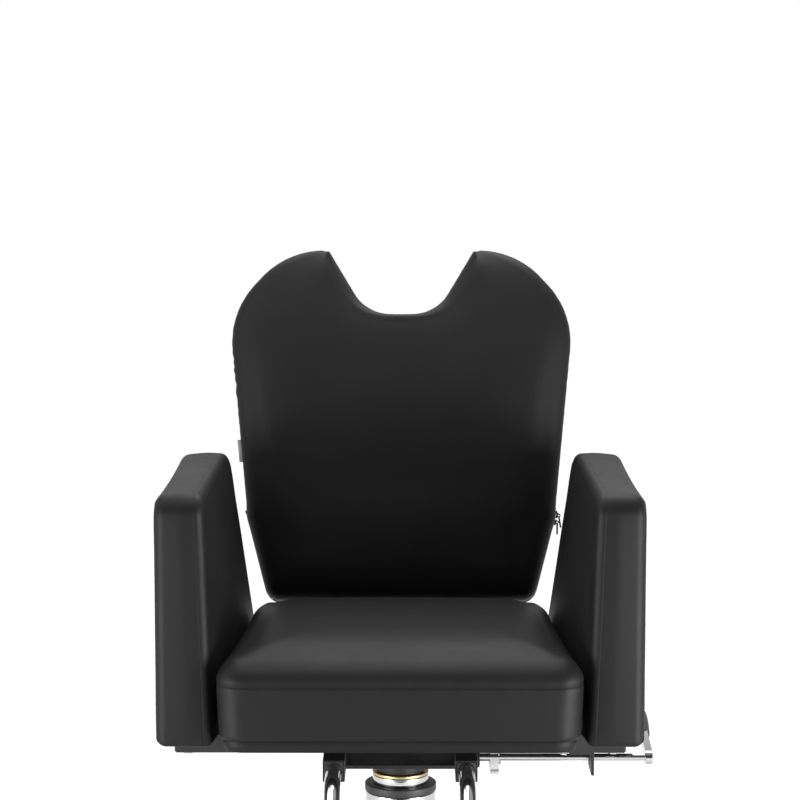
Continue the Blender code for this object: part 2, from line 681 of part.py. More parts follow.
def make_seat_pad(body, finishes):
    """The plywood board and the crowned cushion on it."""
    board = seat_plan(BOARD_BOTTOM, BOARD_INSET)
    solid("seat_board", prism(board, BOARD_BOTTOM, BOARD_TOP, "Z"), finishes["wood"], body)

    edge = SEAT_EDGE_RADIUS
    levels = [(SEAT_BOTTOM, ARM_FOOT_RADIUS), (SEAT_BOTTOM + ARM_FOOT_RADIUS, 0), (SEAT_TOP - edge, 0)]
    for index in range(1, ARC_STEPS):
        angle = math.pi / 2 * index / (ARC_STEPS - 1)
        levels.append((SEAT_TOP - edge + edge * math.sin(angle), edge * (1 - math.cos(angle))))
    rings = [[Vector((x, y, z)) for x, y in seat_plan(z, inset)] for z, inset in levels]
    middle = Vector((0, (SEAT_FRONT + SEAT_REAR) / 2, SEAT_TOP))
    half_width = max(point.x for point in rings[-1])
    half_depth = max(point.y for point in rings[-1]) - middle.y
    rim = rings[-1]
    for share in CROWN_RINGS:
        rings.append([point.lerp(middle, share) for point in rim])
        for point in rings[-1]:
            across, along = point.x / half_width, (point.y - middle.y) / half_depth
            point.z += SEAT_CROWN * (1 - across ** 2) * (1 - along ** 2)
    rings.append([middle + Vector((0, 0, SEAT_CROWN))])
    solid("seat_cushion", loft(rings), finishes["leather"], body)


def arm_section(side, y, inset):
    """The arm's cross-section at a depth: upright outside, leaning inside, rounded on top."""
    top, bottom = ARM_TOP - inset, ARM_BOTTOM + min(inset, ARM_FOOT_RADIUS)
    outer = ARM_OUTER - inset
    inner_top = arm_inner(y, ARM_TOP) + inset
    inner_bottom = arm_inner(y, ARM_BOTTOM) + inset
    corners = [(inner_bottom, bottom, ARM_FOOT_RADIUS), (outer, bottom, ARM_FOOT_RADIUS)]
    corners += [(outer, top, ARM_OUTER_RADIUS), (inner_top, top, ARM_INNER_RADIUS)]
    points = split_runs(rounded(corners, ARC_STEPS), ARC_STEPS + 1, SIDE_PIECES)
    middle = (inner_top + outer) / 2
    section = []
    for x, z in points:
        share = max(0, 1 - (2 * (x - middle) / (outer - inner_top)) ** 2)
        crown = ARM_CROWN * share if z > ARM_TOP - ARM_OUTER_RADIUS - inset else 0
        section.append(Vector((side * x, y, z + crown)))
    return section


def make_arm(side, name, body, finishes):
    """One arm: a plywood core in an upholstered pad, held up to the cross rails by two bolts."""
    radius = ARM_END_RADIUS
    stations = []
    for index in range(ARC_STEPS):
        angle = math.pi / 2 * index / (ARC_STEPS - 1)
        stations.append((radius * (1 - math.cos(angle)), radius * (1 - math.sin(angle))))
    ends = [(ARM_FRONT + depth, inset) for depth, inset in stations]
    ends += [(ARM_FRONT + (ARM_REAR - ARM_FRONT) * share, 0) for share in ARM_STATIONS]
    ends += [(ARM_REAR - depth, inset) for depth, inset in reversed(stations)]
    rings = [arm_section(side, y, inset) for y, inset in ends]
    pad = solid(f"arm_pad_{name}", loft(rings), finishes["leather"], body)

    gap = SEAT_GAP
    inner, outer = sorted((side * (CORE_OUTER - CORE_THICKNESS), side * CORE_OUTER))
    front, rear = ARM_FRONT + CORE_END_MARGIN, ARM_REAR - CORE_END_MARGIN
    core_top = ARM_TOP - CORE_TOP_MARGIN
    slot_low = (inner - gap, front - gap, ARM_BOTTOM - CROSS_HEIGHT)
    combine(pad, block(slot_low, (outer + gap, rear + gap, core_top + gap)), "DIFFERENCE")
    core = solid(f"arm_core_{name}", block((inner, front, ARM_BOTTOM), (outer, rear, core_top)),
                 finishes["wood"], body)

    head_top = CROSS_BOTTOM - gap
    tip = ARM_BOTTOM + BOLT_REACH
    bolt = [(0, head_top - BOLT_HEAD_HEIGHT), (BOLT_HEAD_RADIUS, head_top - BOLT_HEAD_HEIGHT)]
    bolt += [(BOLT_HEAD_RADIUS, head_top), (BOLT_RADIUS, head_top), (BOLT_RADIUS, tip), (0, tip)]
    for middle, end in ((CROSS_FRONT, "front"), (CROSS_REAR, "rear")):
        place = Matrix.Translation((side * CORE_X, middle, 0))
        combine(core, bolt_hole(side * CORE_X, middle, ARM_BOTTOM - CROSS_HEIGHT, tip + gap), "DIFFERENCE")
        solid(f"arm_bolt_{name}_{end}", turned(bolt, SMALL, place), finishes["steel"], body)


def make_footrest(body, finishes):
    """Two bent legs held in the rails, and a cross bar with a rubber grip."""
    chrome = finishes["chrome"]
    rail_z = (RAIL_BOTTOM + RAIL_TOP) / 2
    hollow = RAIL_WIDTH / 2 - TUBE_WALL - SEAT_GAP
    hollow_height = RAIL_HEIGHT / 2 - TUBE_WALL - SEAT_GAP
    bar_place = Matrix.Translation((0, FOOT_Y, FOOT_Z)) @ ALONG_X
    for side, name in ((-1, "left"), (1, "right")):
        x = side * RAIL_X
        low = (x - hollow, RAIL_FRONT, rail_z - hollow_height)
        socket = block(low, (x + hollow, RAIL_FRONT + LEG_ENGAGEMENT, rail_z + hollow_height))
        socket = solid(f"footrest_socket_{name}", socket, finishes["plastic"], body)
        start = RAIL_FRONT + LEG_ENGAGEMENT
        bore_place = Matrix.Translation((x, 0, rail_z)) @ ALONG_Y
        bore_start, bore_end = RAIL_FRONT - LEG_ENGAGEMENT, start + LEG_ENGAGEMENT
        bore = rod(LEG_RADIUS + SEAT_GAP, bore_start, bore_end, COARSE, bore_place)
        combine(socket, bore, "DIFFERENCE")
        corners = [(x, start, rail_z), (x, RAIL_FRONT - LEG_STRAIGHT, rail_z), (x, FOOT_Y, FOOT_Z)]
        leg = bent_bar(bent_path(corners, LEG_STRAIGHT / 2), LEG_RADIUS)
        leg = solid(f"footrest_leg_{name}", leg, chrome, body)
        saddle = rod(FOOT_BAR_RADIUS + SEAT_GAP, -FOOT_BAR_HALF, FOOT_BAR_HALF, COARSE, bar_place)
        combine(leg, saddle, "DIFFERENCE")
    bar = rod(FOOT_BAR_RADIUS, -FOOT_BAR_HALF, FOOT_BAR_HALF, COARSE, bar_place)
    solid("footrest_bar", bar, chrome, body)
    grip_inner = FOOT_BAR_RADIUS + SEAT_GAP
    grip_half = RAIL_X - LEG_RADIUS - FOOT_GRIP_MARGIN
    grip = tube(grip_inner, grip_inner + FOOT_GRIP_WALL, -grip_half, grip_half, COARSE, bar_place)
    solid("footrest_grip", grip, finishes["rubber"], body)


def make_hinges(seat, back, finishes):
    """Brackets and pins on the seat rails; bushes and bars on the backrest, left and right."""
    steel = finishes["steel"]
    axis = Matrix.Translation((0, RECLINE_Y, RECLINE_Z))
    foot_low, foot_high = RAIL_BOTTOM + TUBE_WALL, RAIL_BOTTOM + BRACKET_FOOT
    bracket_front = SEAT_REAR + SEAT_GAP
    eye = arc((RECLINE_Y, RECLINE_Z), BRACKET_EYE_RADIUS, 0, math.pi, 2 * ARC_STEPS)
    outline = [(bracket_front, foot_low), (RECLINE_Y + BRACKET_EYE_RADIUS, foot_low)]
    outline += eye + [(bracket_front, foot_high)]
    bush_outer = PIN_RADIUS + RUN_GAP + BUSH_WALL
    for side, name in ((-1, "left"), (1, "right")):
        turn = ALONG_X if side > 0 else Matrix.Scale(-1, 4, (1, 0, 0)) @ ALONG_X
        place = axis @ turn
        low, high = sorted((side * BRACKET_X, side * (BRACKET_X + BRACKET_THICKNESS)))
        bracket = prism(outline, low, high, "X")
        bracket = solid(f"hinge_bracket_{name}", bracket, finishes["black_metal"], seat)
        hole = rod(PIN_RADIUS + SEAT_GAP, BRACKET_X - PIN_HEAD, BAR_X, COARSE, place)
        combine(bracket, hole, "DIFFERENCE")

        outer = (CRANK_X + CRANK_THICKNESS if side > 0 else BAR_X + BAR_THICKNESS) + SEAT_GAP
        inner = BRACKET_X - SEAT_GAP
        pin = [(0, inner - PIN_HEAD), (PIN_HEAD_RADIUS, inner - PIN_HEAD), (PIN_HEAD_RADIUS, inner)]
        pin += [(PIN_RADIUS, inner), (PIN_RADIUS, outer), (0, outer)]
        solid(f"recline_pin_{name}", turned(pin, COARSE, place), steel, seat)

        bush_inner = PIN_RADIUS + RUN_GAP
        flange_end = BUSH_X + BUSH_FLANGE
        bush = [(bush_inner, BUSH_X), (BUSH_FLANGE_RADIUS, BUSH_X), (BUSH_FLANGE_RADIUS, flange_end)]
        bush += [(bush_outer, flange_end), (bush_outer, BAR_X + BAR_THICKNESS)]
        bush.append((bush_inner, BAR_X + BAR_THICKNESS))
        solid(f"recline_bush_{name}", turned(bush, COARSE, turn), finishes["bronze"], back)

        bar_low, bar_high = sorted((side * BAR_X, side * (BAR_X + BAR_THICKNESS)))
        bar = prism(link((0, 0), BAR_EYE_RADIUS, (0, BAR_TOP), BAR_END_RADIUS), bar_low, bar_high, "X")
        bar = solid(f"back_bar_{name}", bar, finishes["black_metal"], back)
        eye_bore = rod(bush_outer + SEAT_GAP, BAR_X - PIN_HEAD, CRANK_X + PIN_HEAD, COARSE, turn)
        combine(bar, eye_bore, "DIFFERENCE")


def make_strut(seat, back, strut_rod, strut_body, release, finishes):
    """The lockable strut between a lug on the right rail and a crank on the right back bar."""
    steel, black = finishes["steel"], finishes["black_metal"]
    turn = CRANK_ANGLE + BACK_TILT
    crank_pin = (CRANK_RADIUS * math.sin(turn), -CRANK_RADIUS * math.cos(turn))
    crank = link((0, 0), BAR_EYE_RADIUS, crank_pin, CRANK_END_RADIUS)
    crank = prism(crank, CRANK_X, CRANK_X + CRANK_THICKNESS, "X")
    crank = solid("recline_crank", crank, black, back)
    past = CRANK_X + CRANK_THICKNESS + PIN_HEAD
    combine(crank, rod(PIN_RADIUS + RUN_GAP, BAR_X, past, COARSE, ALONG_X), "DIFFERENCE")
    pin_place = Matrix.Translation((0, *crank_pin)) @ ALONG_X
    combine(crank, rod(STRUT_PIN_RADIUS + SEAT_GAP, BAR_X, past, COARSE, pin_place), "DIFFERENCE")
    pin_end = STRUT_X + STRUT_EYE_THICKNESS / 2 + SEAT_GAP
    pin = strut_pin(CRANK_X, pin_end, STRUT_EYE_RADIUS - SEAT_GAP)
    solid("strut_pin_rear", turned(pin, COARSE, pin_place), steel, back)

    lug_near = (STRUT_FRONT_Y, STRUT_FRONT_Z)
    lug_far = (LEVER_Y, LEVER_Z)
    lug = link(lug_near, LUG_RADIUS, lug_far, LUG_RADIUS - SEAT_GAP)
    lug = prism(lug, BRACKET_X, BRACKET_X + LUG_THICKNESS, "X")
    lug = solid("strut_lug", lug, black, seat)
    lug_end = BRACKET_X + LUG_THICKNESS + PIN_HEAD
    lug_start = BRACKET_X - RAIL_WIDTH
    front_place = Matrix.Translation((0, *lug_near)) @ ALONG_X
    lever_place = Matrix.Translation((0, *lug_far)) @ ALONG_X
    combine(lug, rod(STRUT_PIN_RADIUS + SEAT_GAP, lug_start, lug_end, COARSE, front_place), "DIFFERENCE")
    combine(lug, rod(LEVER_SHAFT_RADIUS + RUN_GAP, lug_start, lug_end, COARSE, lever_place), "DIFFERENCE")
    front_pin = strut_pin(BRACKET_X, pin_end, STRUT_PIN_RADIUS + PIN_HEAD)
    solid("strut_pin_front", turned(front_pin, COARSE, front_place), steel, seat)

    half = STRUT_EYE_THICKNESS / 2
    head = block((-half, -HEAD_FRONT, -HEAD_BLOCK), (half, HEAD_BLOCK, HEAD_BLOCK))
    head = solid("strut_rod", head, steel, strut_rod)
    rod_end = STRUT_BODY_START + STRUT_ROD_OVERLAP
    rod_start = HEAD_BLOCK / 2 + STRUT_PIN_RADIUS
    combine(head, rod(STRUT_ROD_RADIUS, rod_start, rod_end, COARSE, ALONG_Y), "UNION")
    combine(head, rod(STRUT_PIN_RADIUS + RUN_GAP, -2 * half, 2 * half, COARSE, ALONG_X), "DIFFERENCE")
    release_end = RELEASE_TIP + RELEASE_LENGTH
    bore_end = release_end + RELEASE_TRAVEL + RUN_GAP
    combine(head, rod(RELEASE_RADIUS + SEAT_GAP, -2 * HEAD_FRONT, bore_end, COARSE, ALONG_Y), "DIFFERENCE")
    button = rod(RELEASE_RADIUS, 0, RELEASE_LENGTH, SMALL, ALONG_Y)
    solid("release_pin", button, finishes["bronze"], release)

    bore = STRUT_ROD_RADIUS + SEAT_GAP
    bore_floor = STRUT_ROD_OVERLAP + STRUT_STROKE + RUN_GAP
    length = STRUT_BODY_LENGTH
    barrel = [(bore, 0), (STRUT_BODY_RADIUS, 0), (STRUT_BODY_RADIUS, length), (0, length), (0, bore_floor)]
    barrel.append((bore, bore_floor))
    barrel = solid("strut_cylinder", turned(barrel, COARSE, ALONG_Y), black, strut_body)
    eye_place = Matrix.Translation((0, length + STRUT_NECK, 0)) @ ALONG_X
    neck = link((length + STRUT_NECK, 0), STRUT_EYE_RADIUS, (length, 0), STRUT_NECK_HALF)
    combine(barrel, prism(neck, -half, half, "X"), "UNION")
    eye_bore = rod(STRUT_PIN_RADIUS + STRUT_SWING_GAP, -4 * half, 4 * half, COARSE, eye_place)
    combine(barrel, eye_bore, "DIFFERENCE")


def strut_pin(start, end, head_radius):
    """The profile of a strut pin, with a head past the strut's eye."""
    pin = [(0, start), (STRUT_PIN_RADIUS, start), (STRUT_PIN_RADIUS, end), (head_radius, end)]
    return pin + [(head_radius, end + PIN_HEAD), (0, end + PIN_HEAD)]


def make_lever(seat, lever, finishes):
    """The bracket under the front cross rail, and the pull-up lever that presses the release pin."""
    flange = LEVER_BRACKET_THICKNESS
    right = LEVER_BRACKET_X + flange
    top = CROSS_BOTTOM - SEAT_GAP
    low = LEVER_Z - LUG_RADIUS
    outline = [(LEVER_BRACKET_X - LEVER_BRACKET_DEPTH, top - flange), (LEVER_BRACKET_X, top - flange)]
    outline += [(LEVER_BRACKET_X, low), (right, low), (right, top)]
    outline.append((LEVER_BRACKET_X - LEVER_BRACKET_DEPTH, top))
    front = min(LEVER_Y - LUG_RADIUS, CROSS_FRONT - LEVER_BRACKET_DEPTH / 2)
    rear = LEVER_Y + LUG_RADIUS
    bracket = solid("lever_bracket", prism(outline, front, rear, "Y"), finishes["black_metal"], seat)
    place = Matrix.Translation((0, LEVER_Y, LEVER_Z)) @ ALONG_X
    combine(bracket, rod(LEVER_SHAFT_RADIUS + RUN_GAP, RAIL_X, LEVER_REACH, COARSE, place), "DIFFERENCE")

    shaft_start = BRACKET_X + SEAT_GAP
    finger_half = STRUT_EYE_THICKNESS / 2
    finger = block((STRUT_X - finger_half, -LEVER_FINGER / 2, -LEVER_FINGER_LENGTH),
                   (STRUT_X + finger_half, LEVER_FINGER / 2, LEVER_SHAFT_RADIUS + PIN_HEAD))
    shaft = solid("lever_shaft", finger, finishes["chrome"], lever)
    combine(shaft, rod(LEVER_SHAFT_RADIUS, shaft_start, LEVER_REACH, COARSE, ALONG_X), "UNION")
    arm_end = (LEVER_LENGTH, LEVER_BEND)
    arm = link((0, 0), 2 * LEVER_SHAFT_RADIUS, arm_end, LEVER_SHAFT_RADIUS)
    arm = prism(arm, LEVER_REACH - LEVER_SHAFT_RADIUS, LEVER_REACH + LEVER_SHAFT_RADIUS, "X")
    combine(shaft, arm, "UNION")

    reach = math.hypot(*arm_end)
    slope = Matrix.Rotation(math.atan2(LEVER_BEND, LEVER_LENGTH), 4, "X")
    along = Matrix.Translation((LEVER_REACH, 0, 0)) @ slope @ ALONG_Y
    end = reach + LEVER_SHAFT_RADIUS + GRIP_RADIUS / 2
    start = end - GRIP_LENGTH
    profile = [(0, start), (GRIP_NECK_RADIUS, start), (GRIP_RADIUS, start + GRIP_LENGTH / 2)]
    profile += [(GRIP_RADIUS, end - GRIP_RADIUS), (GRIP_NOSE_RADIUS, end), (0, end)]
    grip = solid("lever_grip", turned(profile, COARSE, along), finishes["plastic"], lever)
    gap = SEAT_GAP
    socket = link((0, 0), 2 * LEVER_SHAFT_RADIUS + gap, arm_end, LEVER_SHAFT_RADIUS + gap)
    half = LEVER_SHAFT_RADIUS + gap
    combine(grip, prism(socket, LEVER_REACH - half, LEVER_REACH + half, "X"), "DIFFERENCE")


def back_outline():
    """The backrest seen from the front: tapered foot, round shoulders and the neck cut-out."""
    floor = BACK_TOP - NECK_DEPTH
    right = [(BACK_HALF_BOTTOM, BACK_BOTTOM, BACK_FOOT_RADIUS)]
    right.append((BACK_HALF_ZIP, BACK_ZIP_HEIGHT, BACK_WAIST_RADIUS))
    right += [(BACK_HALF_TOP, BACK_TOP, SHOULDER_RADIUS), (NECK_HALF_TOP, BACK_TOP, NECK_TIP_RADIUS)]
    right.append((NECK_HALF_FLOOR, floor, NECK_FLOOR_RADIUS))
    left = [(-x, height, radius) for x, height, radius in reversed(right)]
    return subdivided(rounded(right + left), BACK_STEP)


def inset_back(outline, normals, inset):
    """The outline drawn in by an inset, which fades at the sharp tips of the cut-out."""
    points = []
    for (x, height), normal in zip(outline, normals):
        from_tip = math.dist((abs(x), height), (NECK_HALF_TOP, BACK_TOP))
        share = min(1.0, max(NECK_TIP_EDGE / BACK_FRONT_RADIUS, from_tip / NECK_TIP_FADE))
        points.append((x - normal.x * inset * share, height - normal.y * inset * share))
    return points


def back_crown(x, height):
    """How far the cushion swells forward of its flat front, most at the small of the back."""
    below = height < BACK_CROWN_HEIGHT
    reach = BACK_CROWN_HEIGHT - BACK_BOTTOM if below else BACK_TOP - BACK_CROWN_HEIGHT
    across, along = x / BACK_HALF_ZIP, (height - BACK_CROWN_HEIGHT) / reach
    return BACK_CROWN * max(0, 1 - across ** 2) * (1 - along ** 2)


def make_back_pad(back, finishes):
    """The crowned cushion with its neck cut-out, over a board that stands on the back bars."""
    outline = back_outline()
    normals = outward_normals(outline)
    middle = Vector((0, BACK_CROWN_HEIGHT))

    def ring(y, inset, shrink=0.0):
        points = [Vector(point).lerp(middle, shrink) for point in inset_back(outline, normals, inset)]
        return [Vector((point.x, y, point.y)) for point in points]

    rear, front = BACK_REAR, BACK_FRONT
    rings = [[Vector((0, rear, BACK_CROWN_HEIGHT))], ring(rear, BACK_REAR_RADIUS)]
    for radius, edge, inward in ((BACK_REAR_RADIUS, rear, -1), (BACK_FRONT_RADIUS, front, 1)):
        turns = [math.pi / 2 * index / TIGHT_STEPS for index in range(TIGHT_STEPS + 1)]
        bend = [(edge + inward * radius * (1 - math.sin(a)), radius * (1 - math.cos(a))) for a in turns]
        rings += [ring(y, inset) for y, inset in (bend[-2::-1] if inward < 0 else bend)]
    for shrink in CROWN_RINGS:
        rings.append(ring(front, BACK_FRONT_RADIUS, shrink))
        for point in rings[-1]:
            point.y -= back_crown(point.x, point.z)
    rings.append([Vector((0, front - BACK_CROWN, BACK_CROWN_HEIGHT))])
    cushion = solid("back_cushion", loft(rings), finishes["leather"], back)

    gap = SEAT_GAP
    board_rear = -BAR_END_RADIUS - gap - (BAR_EYE_RADIUS - BAR_END_RADIUS)
    board_front = board_rear - BACK_BOARD_THICKNESS
    board_bottom = BACK_BOTTOM + BACK_BOARD_LIFT
    low = (-BACK_BOARD_HALF, board_front, board_bottom)
    board = block(low, (BACK_BOARD_HALF, board_rear, BACK_BOARD_TOP))
    solid("back_board", board, finishes["wood"], back)
    pocket_low = (-BACK_BOARD_HALF - gap, board_front - gap, 0)
    pocket_high = (BACK_BOARD_HALF + gap, board_rear + gap, BACK_BOARD_TOP + gap)
    combine(cushion, block(pocket_low, pocket_high), "DIFFERENCE")
    slot_top = BAR_TOP + BAR_END_RADIUS + gap
    for side in (-1, 1):
        near, far = sorted((side * (BAR_X - gap), side * (BAR_X + BAR_THICKNESS + gap)))
        slot = block((near, board_front, 0), (far, BAR_EYE_RADIUS + gap, slot_top))
        combine(cushion, slot, "DIFFERENCE")


def zip_end():
    """Where the zip ends on the right side of the backrest, and how far that side leans."""
    lean = math.atan2(BACK_HALF_ZIP - BACK_HALF_BOTTOM, BACK_ZIP_HEIGHT - BACK_BOTTOM)
    return (BACK_HALF_ZIP + ZIP_END_RISE * math.tan(lean), BACK_ZIP_HEIGHT + ZIP_END_RISE), lean


def zip_path():
    """Points and outward normals round the foot of the backrest, from the zip's left end to its right."""
    (end_x, end_height), lean = zip_end()
    outline = back_outline()
    spots = list(zip(outline, outward_normals(outline)))
    below = [height < end_height for _, height in outline]
    first = next(index for index in range(len(spots)) if below[index] and not below[index - 1])
    foot = [spots[(first + index) % len(spots)] for index in range(sum(below))]
    left = ((-end_x, end_height), Vector((-math.cos(lean), -math.sin(lean))))
    right = ((end_x, end_height), Vector((math.cos(lean), -math.sin(lean))))
    return [left] + foot + [right]


def make_zip(back, slider, pulls, finishes):
    """The zip round the foot of the cover, its two sliders and their pulls."""
    half = ZIP_WIDTH / 2
    sections = []
    for (x, height), normal in zip_path():
        near = Vector((x, 0, height)) + Vector((normal.x, 0, normal.y)) * SEAT_GAP
        far = near + Vector((normal.x, 0, normal.y)) * ZIP_THICKNESS
        corners = [near, far, far, near]
        sections.append([corner + Vector((0, ZIP_Y + depth, 0)) for corner, depth
                         in zip(corners, (-half, -half, half, half))])
    solid("zip_chain", loft(sections), finishes["plastic"], back)

    for index, name in enumerate(("upper", "lower")):
        lift = -SLIDER_LENGTH - index * SLIDER_PITCH
        high = (SLIDER_THICKNESS, SLIDER_WIDTH / 2, lift + SLIDER_LENGTH)
        shape = block((SEAT_GAP, -SLIDER_WIDTH / 2, lift), high)
        solid(f"zip_slider_{name}", shape, finishes["black_metal"], slider)
        thin = PULL_THICKNESS / 2
        tag = block((-thin, -PULL_WIDTH / 2, -PULL_LENGTH), (thin, PULL_WIDTH / 2, thin))
        solid(f"zip_pull_{name}", tag, finishes["black_metal"], pulls[index])


def make_label(back, finishes):
    """The blank fabric label that stands out of the left side seam."""
    share = (LABEL_FOOT - BACK_ZIP_HEIGHT) / (BACK_TOP - BACK_ZIP_HEIGHT)
    slope = (BACK_HALF_TOP - BACK_HALF_ZIP) / (BACK_TOP - BACK_ZIP_HEIGHT)
    foot_x = BACK_HALF_ZIP + (BACK_HALF_TOP - BACK_HALF_ZIP) * share + SEAT_GAP
    top_x = foot_x + slope * LABEL_LENGTH
    top = LABEL_FOOT + LABEL_LENGTH
    outline = [(-foot_x, LABEL_FOOT), (-top_x, top)]
    outline += [(-top_x - LABEL_REACH, top), (-foot_x - LABEL_REACH, LABEL_FOOT)]
    solid("label", prism(outline, LABEL_Y - LABEL_THICKNESS / 2, LABEL_Y + LABEL_THICKNESS / 2, "Y"),
          finishes["fabric"], back)


def make_finishes():
    """The chair's plain materials, by name."""
    return {
        "leather": finish("black_leather", (0.022, 0.022, 0.023), 0.48),
        "chrome": finish("chrome", (0.80, 0.80, 0.81), 0.12, 1.0),
        "steel": finish("bright_steel", (0.56, 0.57, 0.58), 0.35, 1.0),
        "black_metal": finish("black_painted_steel", (0.018, 0.018, 0.019), 0.45),
        "bronze": finish("bronze", (0.55, 0.40, 0.20), 0.40, 1.0),
        "plastic": finish("black_plastic", (0.020, 0.020, 0.021), 0.50),
        "rubber": finish("black_rubber", (0.025, 0.025, 0.025), 0.80),
        "wood": finish("plywood", (0.55, 0.40, 0.25), 0.70),
        "fabric": finish("grey_label_tape", (0.24, 0.24, 0.24), 0.90),
    }


def zip_slider_frame(back):
    """An empty at the zip's right end, with its Z axis along the tapering side."""
    (end_x, end_height), lean = zip_end()
    proud = SEAT_GAP + ZIP_THICKNESS
    place = (end_x + proud * math.cos(lean), ZIP_Y, end_height - proud * math.sin(lean))
    return frame_empty("zip_run", place, (0, lean, 0), back)


def pull_frames(slider, back):
    """Two empties where the pulls hang from their sliders, upright whatever the backrest's tilt."""
    tilt = back.rotation_euler.to_matrix() @ slider.rotation_euler.to_matrix()
    upright = tilt.inverted().to_euler()
    proud = SLIDER_THICKNESS + RUN_GAP + PULL_THICKNESS / 2
    frames = []
    for index, name in enumerate(("upper", "lower")):
        beside = (1 - 2 * index) * (PULL_WIDTH + PULL_GAP) / 2
        middle = -SLIDER_LENGTH / 2 - index * SLIDER_PITCH
        frames.append(frame_empty(f"pull_axis_{name}", (proud, beside, middle), upright, slider))
    return frames


def main():
    """Builds the chair, body by body."""
    clear_scene()
    finishes = make_finishes()
    base = frame_empty("base")
    pedal_y = PUMP_RADIUS + FORK_REACH - PEDAL_EYE_RADIUS
    pedal = frame_empty("pedal_axis", (0, pedal_y, FORK_HEIGHT), parent=base)
    lift = frame_empty("lift_axis", parent=base)
    seat = frame_empty("swivel_axis", parent=lift)
    back = frame_empty("recline_axis", (0, RECLINE_Y, RECLINE_Z), (-BACK_TILT, 0, 0), seat)
    strut_front = (STRUT_X, STRUT_FRONT_Y, STRUT_FRONT_Z)
    strut_rod = frame_empty("strut_axis", strut_front, (STRUT_ANGLE, 0, 0), seat)
    strut_body = frame_empty("strut_slide", (0, STRUT_BODY_START, 0), parent=strut_rod)
    release = frame_empty("release_slide", (0, RELEASE_TIP, 0), parent=strut_rod)
    lever = frame_empty("lever_axis", (0, LEVER_Y, LEVER_Z), parent=seat)
    slider = zip_slider_frame(back)
    pulls = pull_frames(slider, back)

    make_base(base, finishes)
    make_pedal(base, pedal, finishes)
    make_lift(lift, finishes)
    make_seat_frame(seat, finishes)
    make_seat_pad(seat, finishes)
    make_arm(-1, "left", seat, finishes)
    make_arm(1, "right", seat, finishes)
    make_footrest(seat, finishes)
    make_hinges(seat, back, finishes)
    make_strut(seat, back, strut_rod, strut_body, release, finishes)
    make_lever(seat, lever, finishes)
    make_back_pad(back, finishes)
    make_zip(back, slider, pulls, finishes)
    make_label(back, finishes)


main()
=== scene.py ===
"""Looks of a hydraulic hairdressing chair: sewn covers, metal, rubber, a studio and a camera.

Every piece is made in metres in the frame of the solids that it dresses: +Z up, the chair faces -Y.
The covers are sewn pads: two filled panels joined by rings, blown up by a short cloth simulation.
"""

from __future__ import annotations

import json
import logging
import math
from dataclasses import dataclass, field
from enum import Enum
from typing import Any, Mapping, Sequence, Union

import bmesh
import bpy
import numpy as np
from mathutils import Matrix, Vector
from mathutils.kdtree import KDTree

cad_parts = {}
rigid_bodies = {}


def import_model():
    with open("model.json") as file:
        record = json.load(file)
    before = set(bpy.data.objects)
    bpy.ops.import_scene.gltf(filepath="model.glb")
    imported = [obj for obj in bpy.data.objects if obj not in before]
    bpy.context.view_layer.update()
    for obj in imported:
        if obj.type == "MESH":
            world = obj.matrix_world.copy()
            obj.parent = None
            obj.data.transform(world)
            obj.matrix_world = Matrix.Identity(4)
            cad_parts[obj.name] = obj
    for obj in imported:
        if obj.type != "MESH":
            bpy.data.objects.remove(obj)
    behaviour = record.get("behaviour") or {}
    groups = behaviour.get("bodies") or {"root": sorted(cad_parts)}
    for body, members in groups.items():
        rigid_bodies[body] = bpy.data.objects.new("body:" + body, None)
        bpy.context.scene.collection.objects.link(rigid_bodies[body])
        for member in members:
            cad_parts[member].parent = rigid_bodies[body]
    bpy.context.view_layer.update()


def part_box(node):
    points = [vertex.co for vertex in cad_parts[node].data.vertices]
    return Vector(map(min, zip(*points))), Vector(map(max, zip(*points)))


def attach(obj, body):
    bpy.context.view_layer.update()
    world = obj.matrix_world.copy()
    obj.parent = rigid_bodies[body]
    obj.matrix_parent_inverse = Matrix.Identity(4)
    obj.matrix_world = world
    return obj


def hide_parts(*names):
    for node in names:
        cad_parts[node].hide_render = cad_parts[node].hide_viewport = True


LOG = logging.getLogger("chair")

# Lengths in metres: how close points are merged, and how far fitted pieces keep apart.
WELD = 1e-6
CLEARANCE = 0.0003
MILLIMETRE = 0.001

# How near its seam a cover is held while it is blown up, and the mark of a ring that no seam reaches.
NEAR_SEAM = 0.5
OFF_SEAM = 9.0

Array = np.ndarray
Pair = tuple[float, float]
Triple = tuple[float, float, float]
Quad = tuple[float, float, float, float]
Line = tuple[Array, Array]
Lengths = Union[Array, float]


class Body(Enum):
    """The moving bodies of the chair."""

    BASE = "base"
    PEDAL = "pump_pedal"
    LIFT = "lift"
    SEAT = "seat"
    BACK = "backrest"
    ROD = "recline_rod"
    CYLINDER = "recline_cylinder"
    BUTTON = "release_button"
    LEVER = "recline_lever"
    SLIDERS = "zip_sliders"
    UPPER_PULL = "upper_pull"
    LOWER_PULL = "lower_pull"


class Slot(Enum):
    """The finishes that a scene can repaint."""

    LEATHER = "faux_leather"
    CHROME = "chrome"
    STEEL = "bright_steel"
    PAINT = "black_paint"
    BRONZE = "bronze"
    PLASTIC = "black_plastic"
    RUBBER = "black_rubber"
    PLYWOOD = "plywood"
    TAPE = "label_tape"


class Side(Enum):
    """The chair's left and right as seen from the front, as signs along X."""

    LEFT = -1
    RIGHT = 1


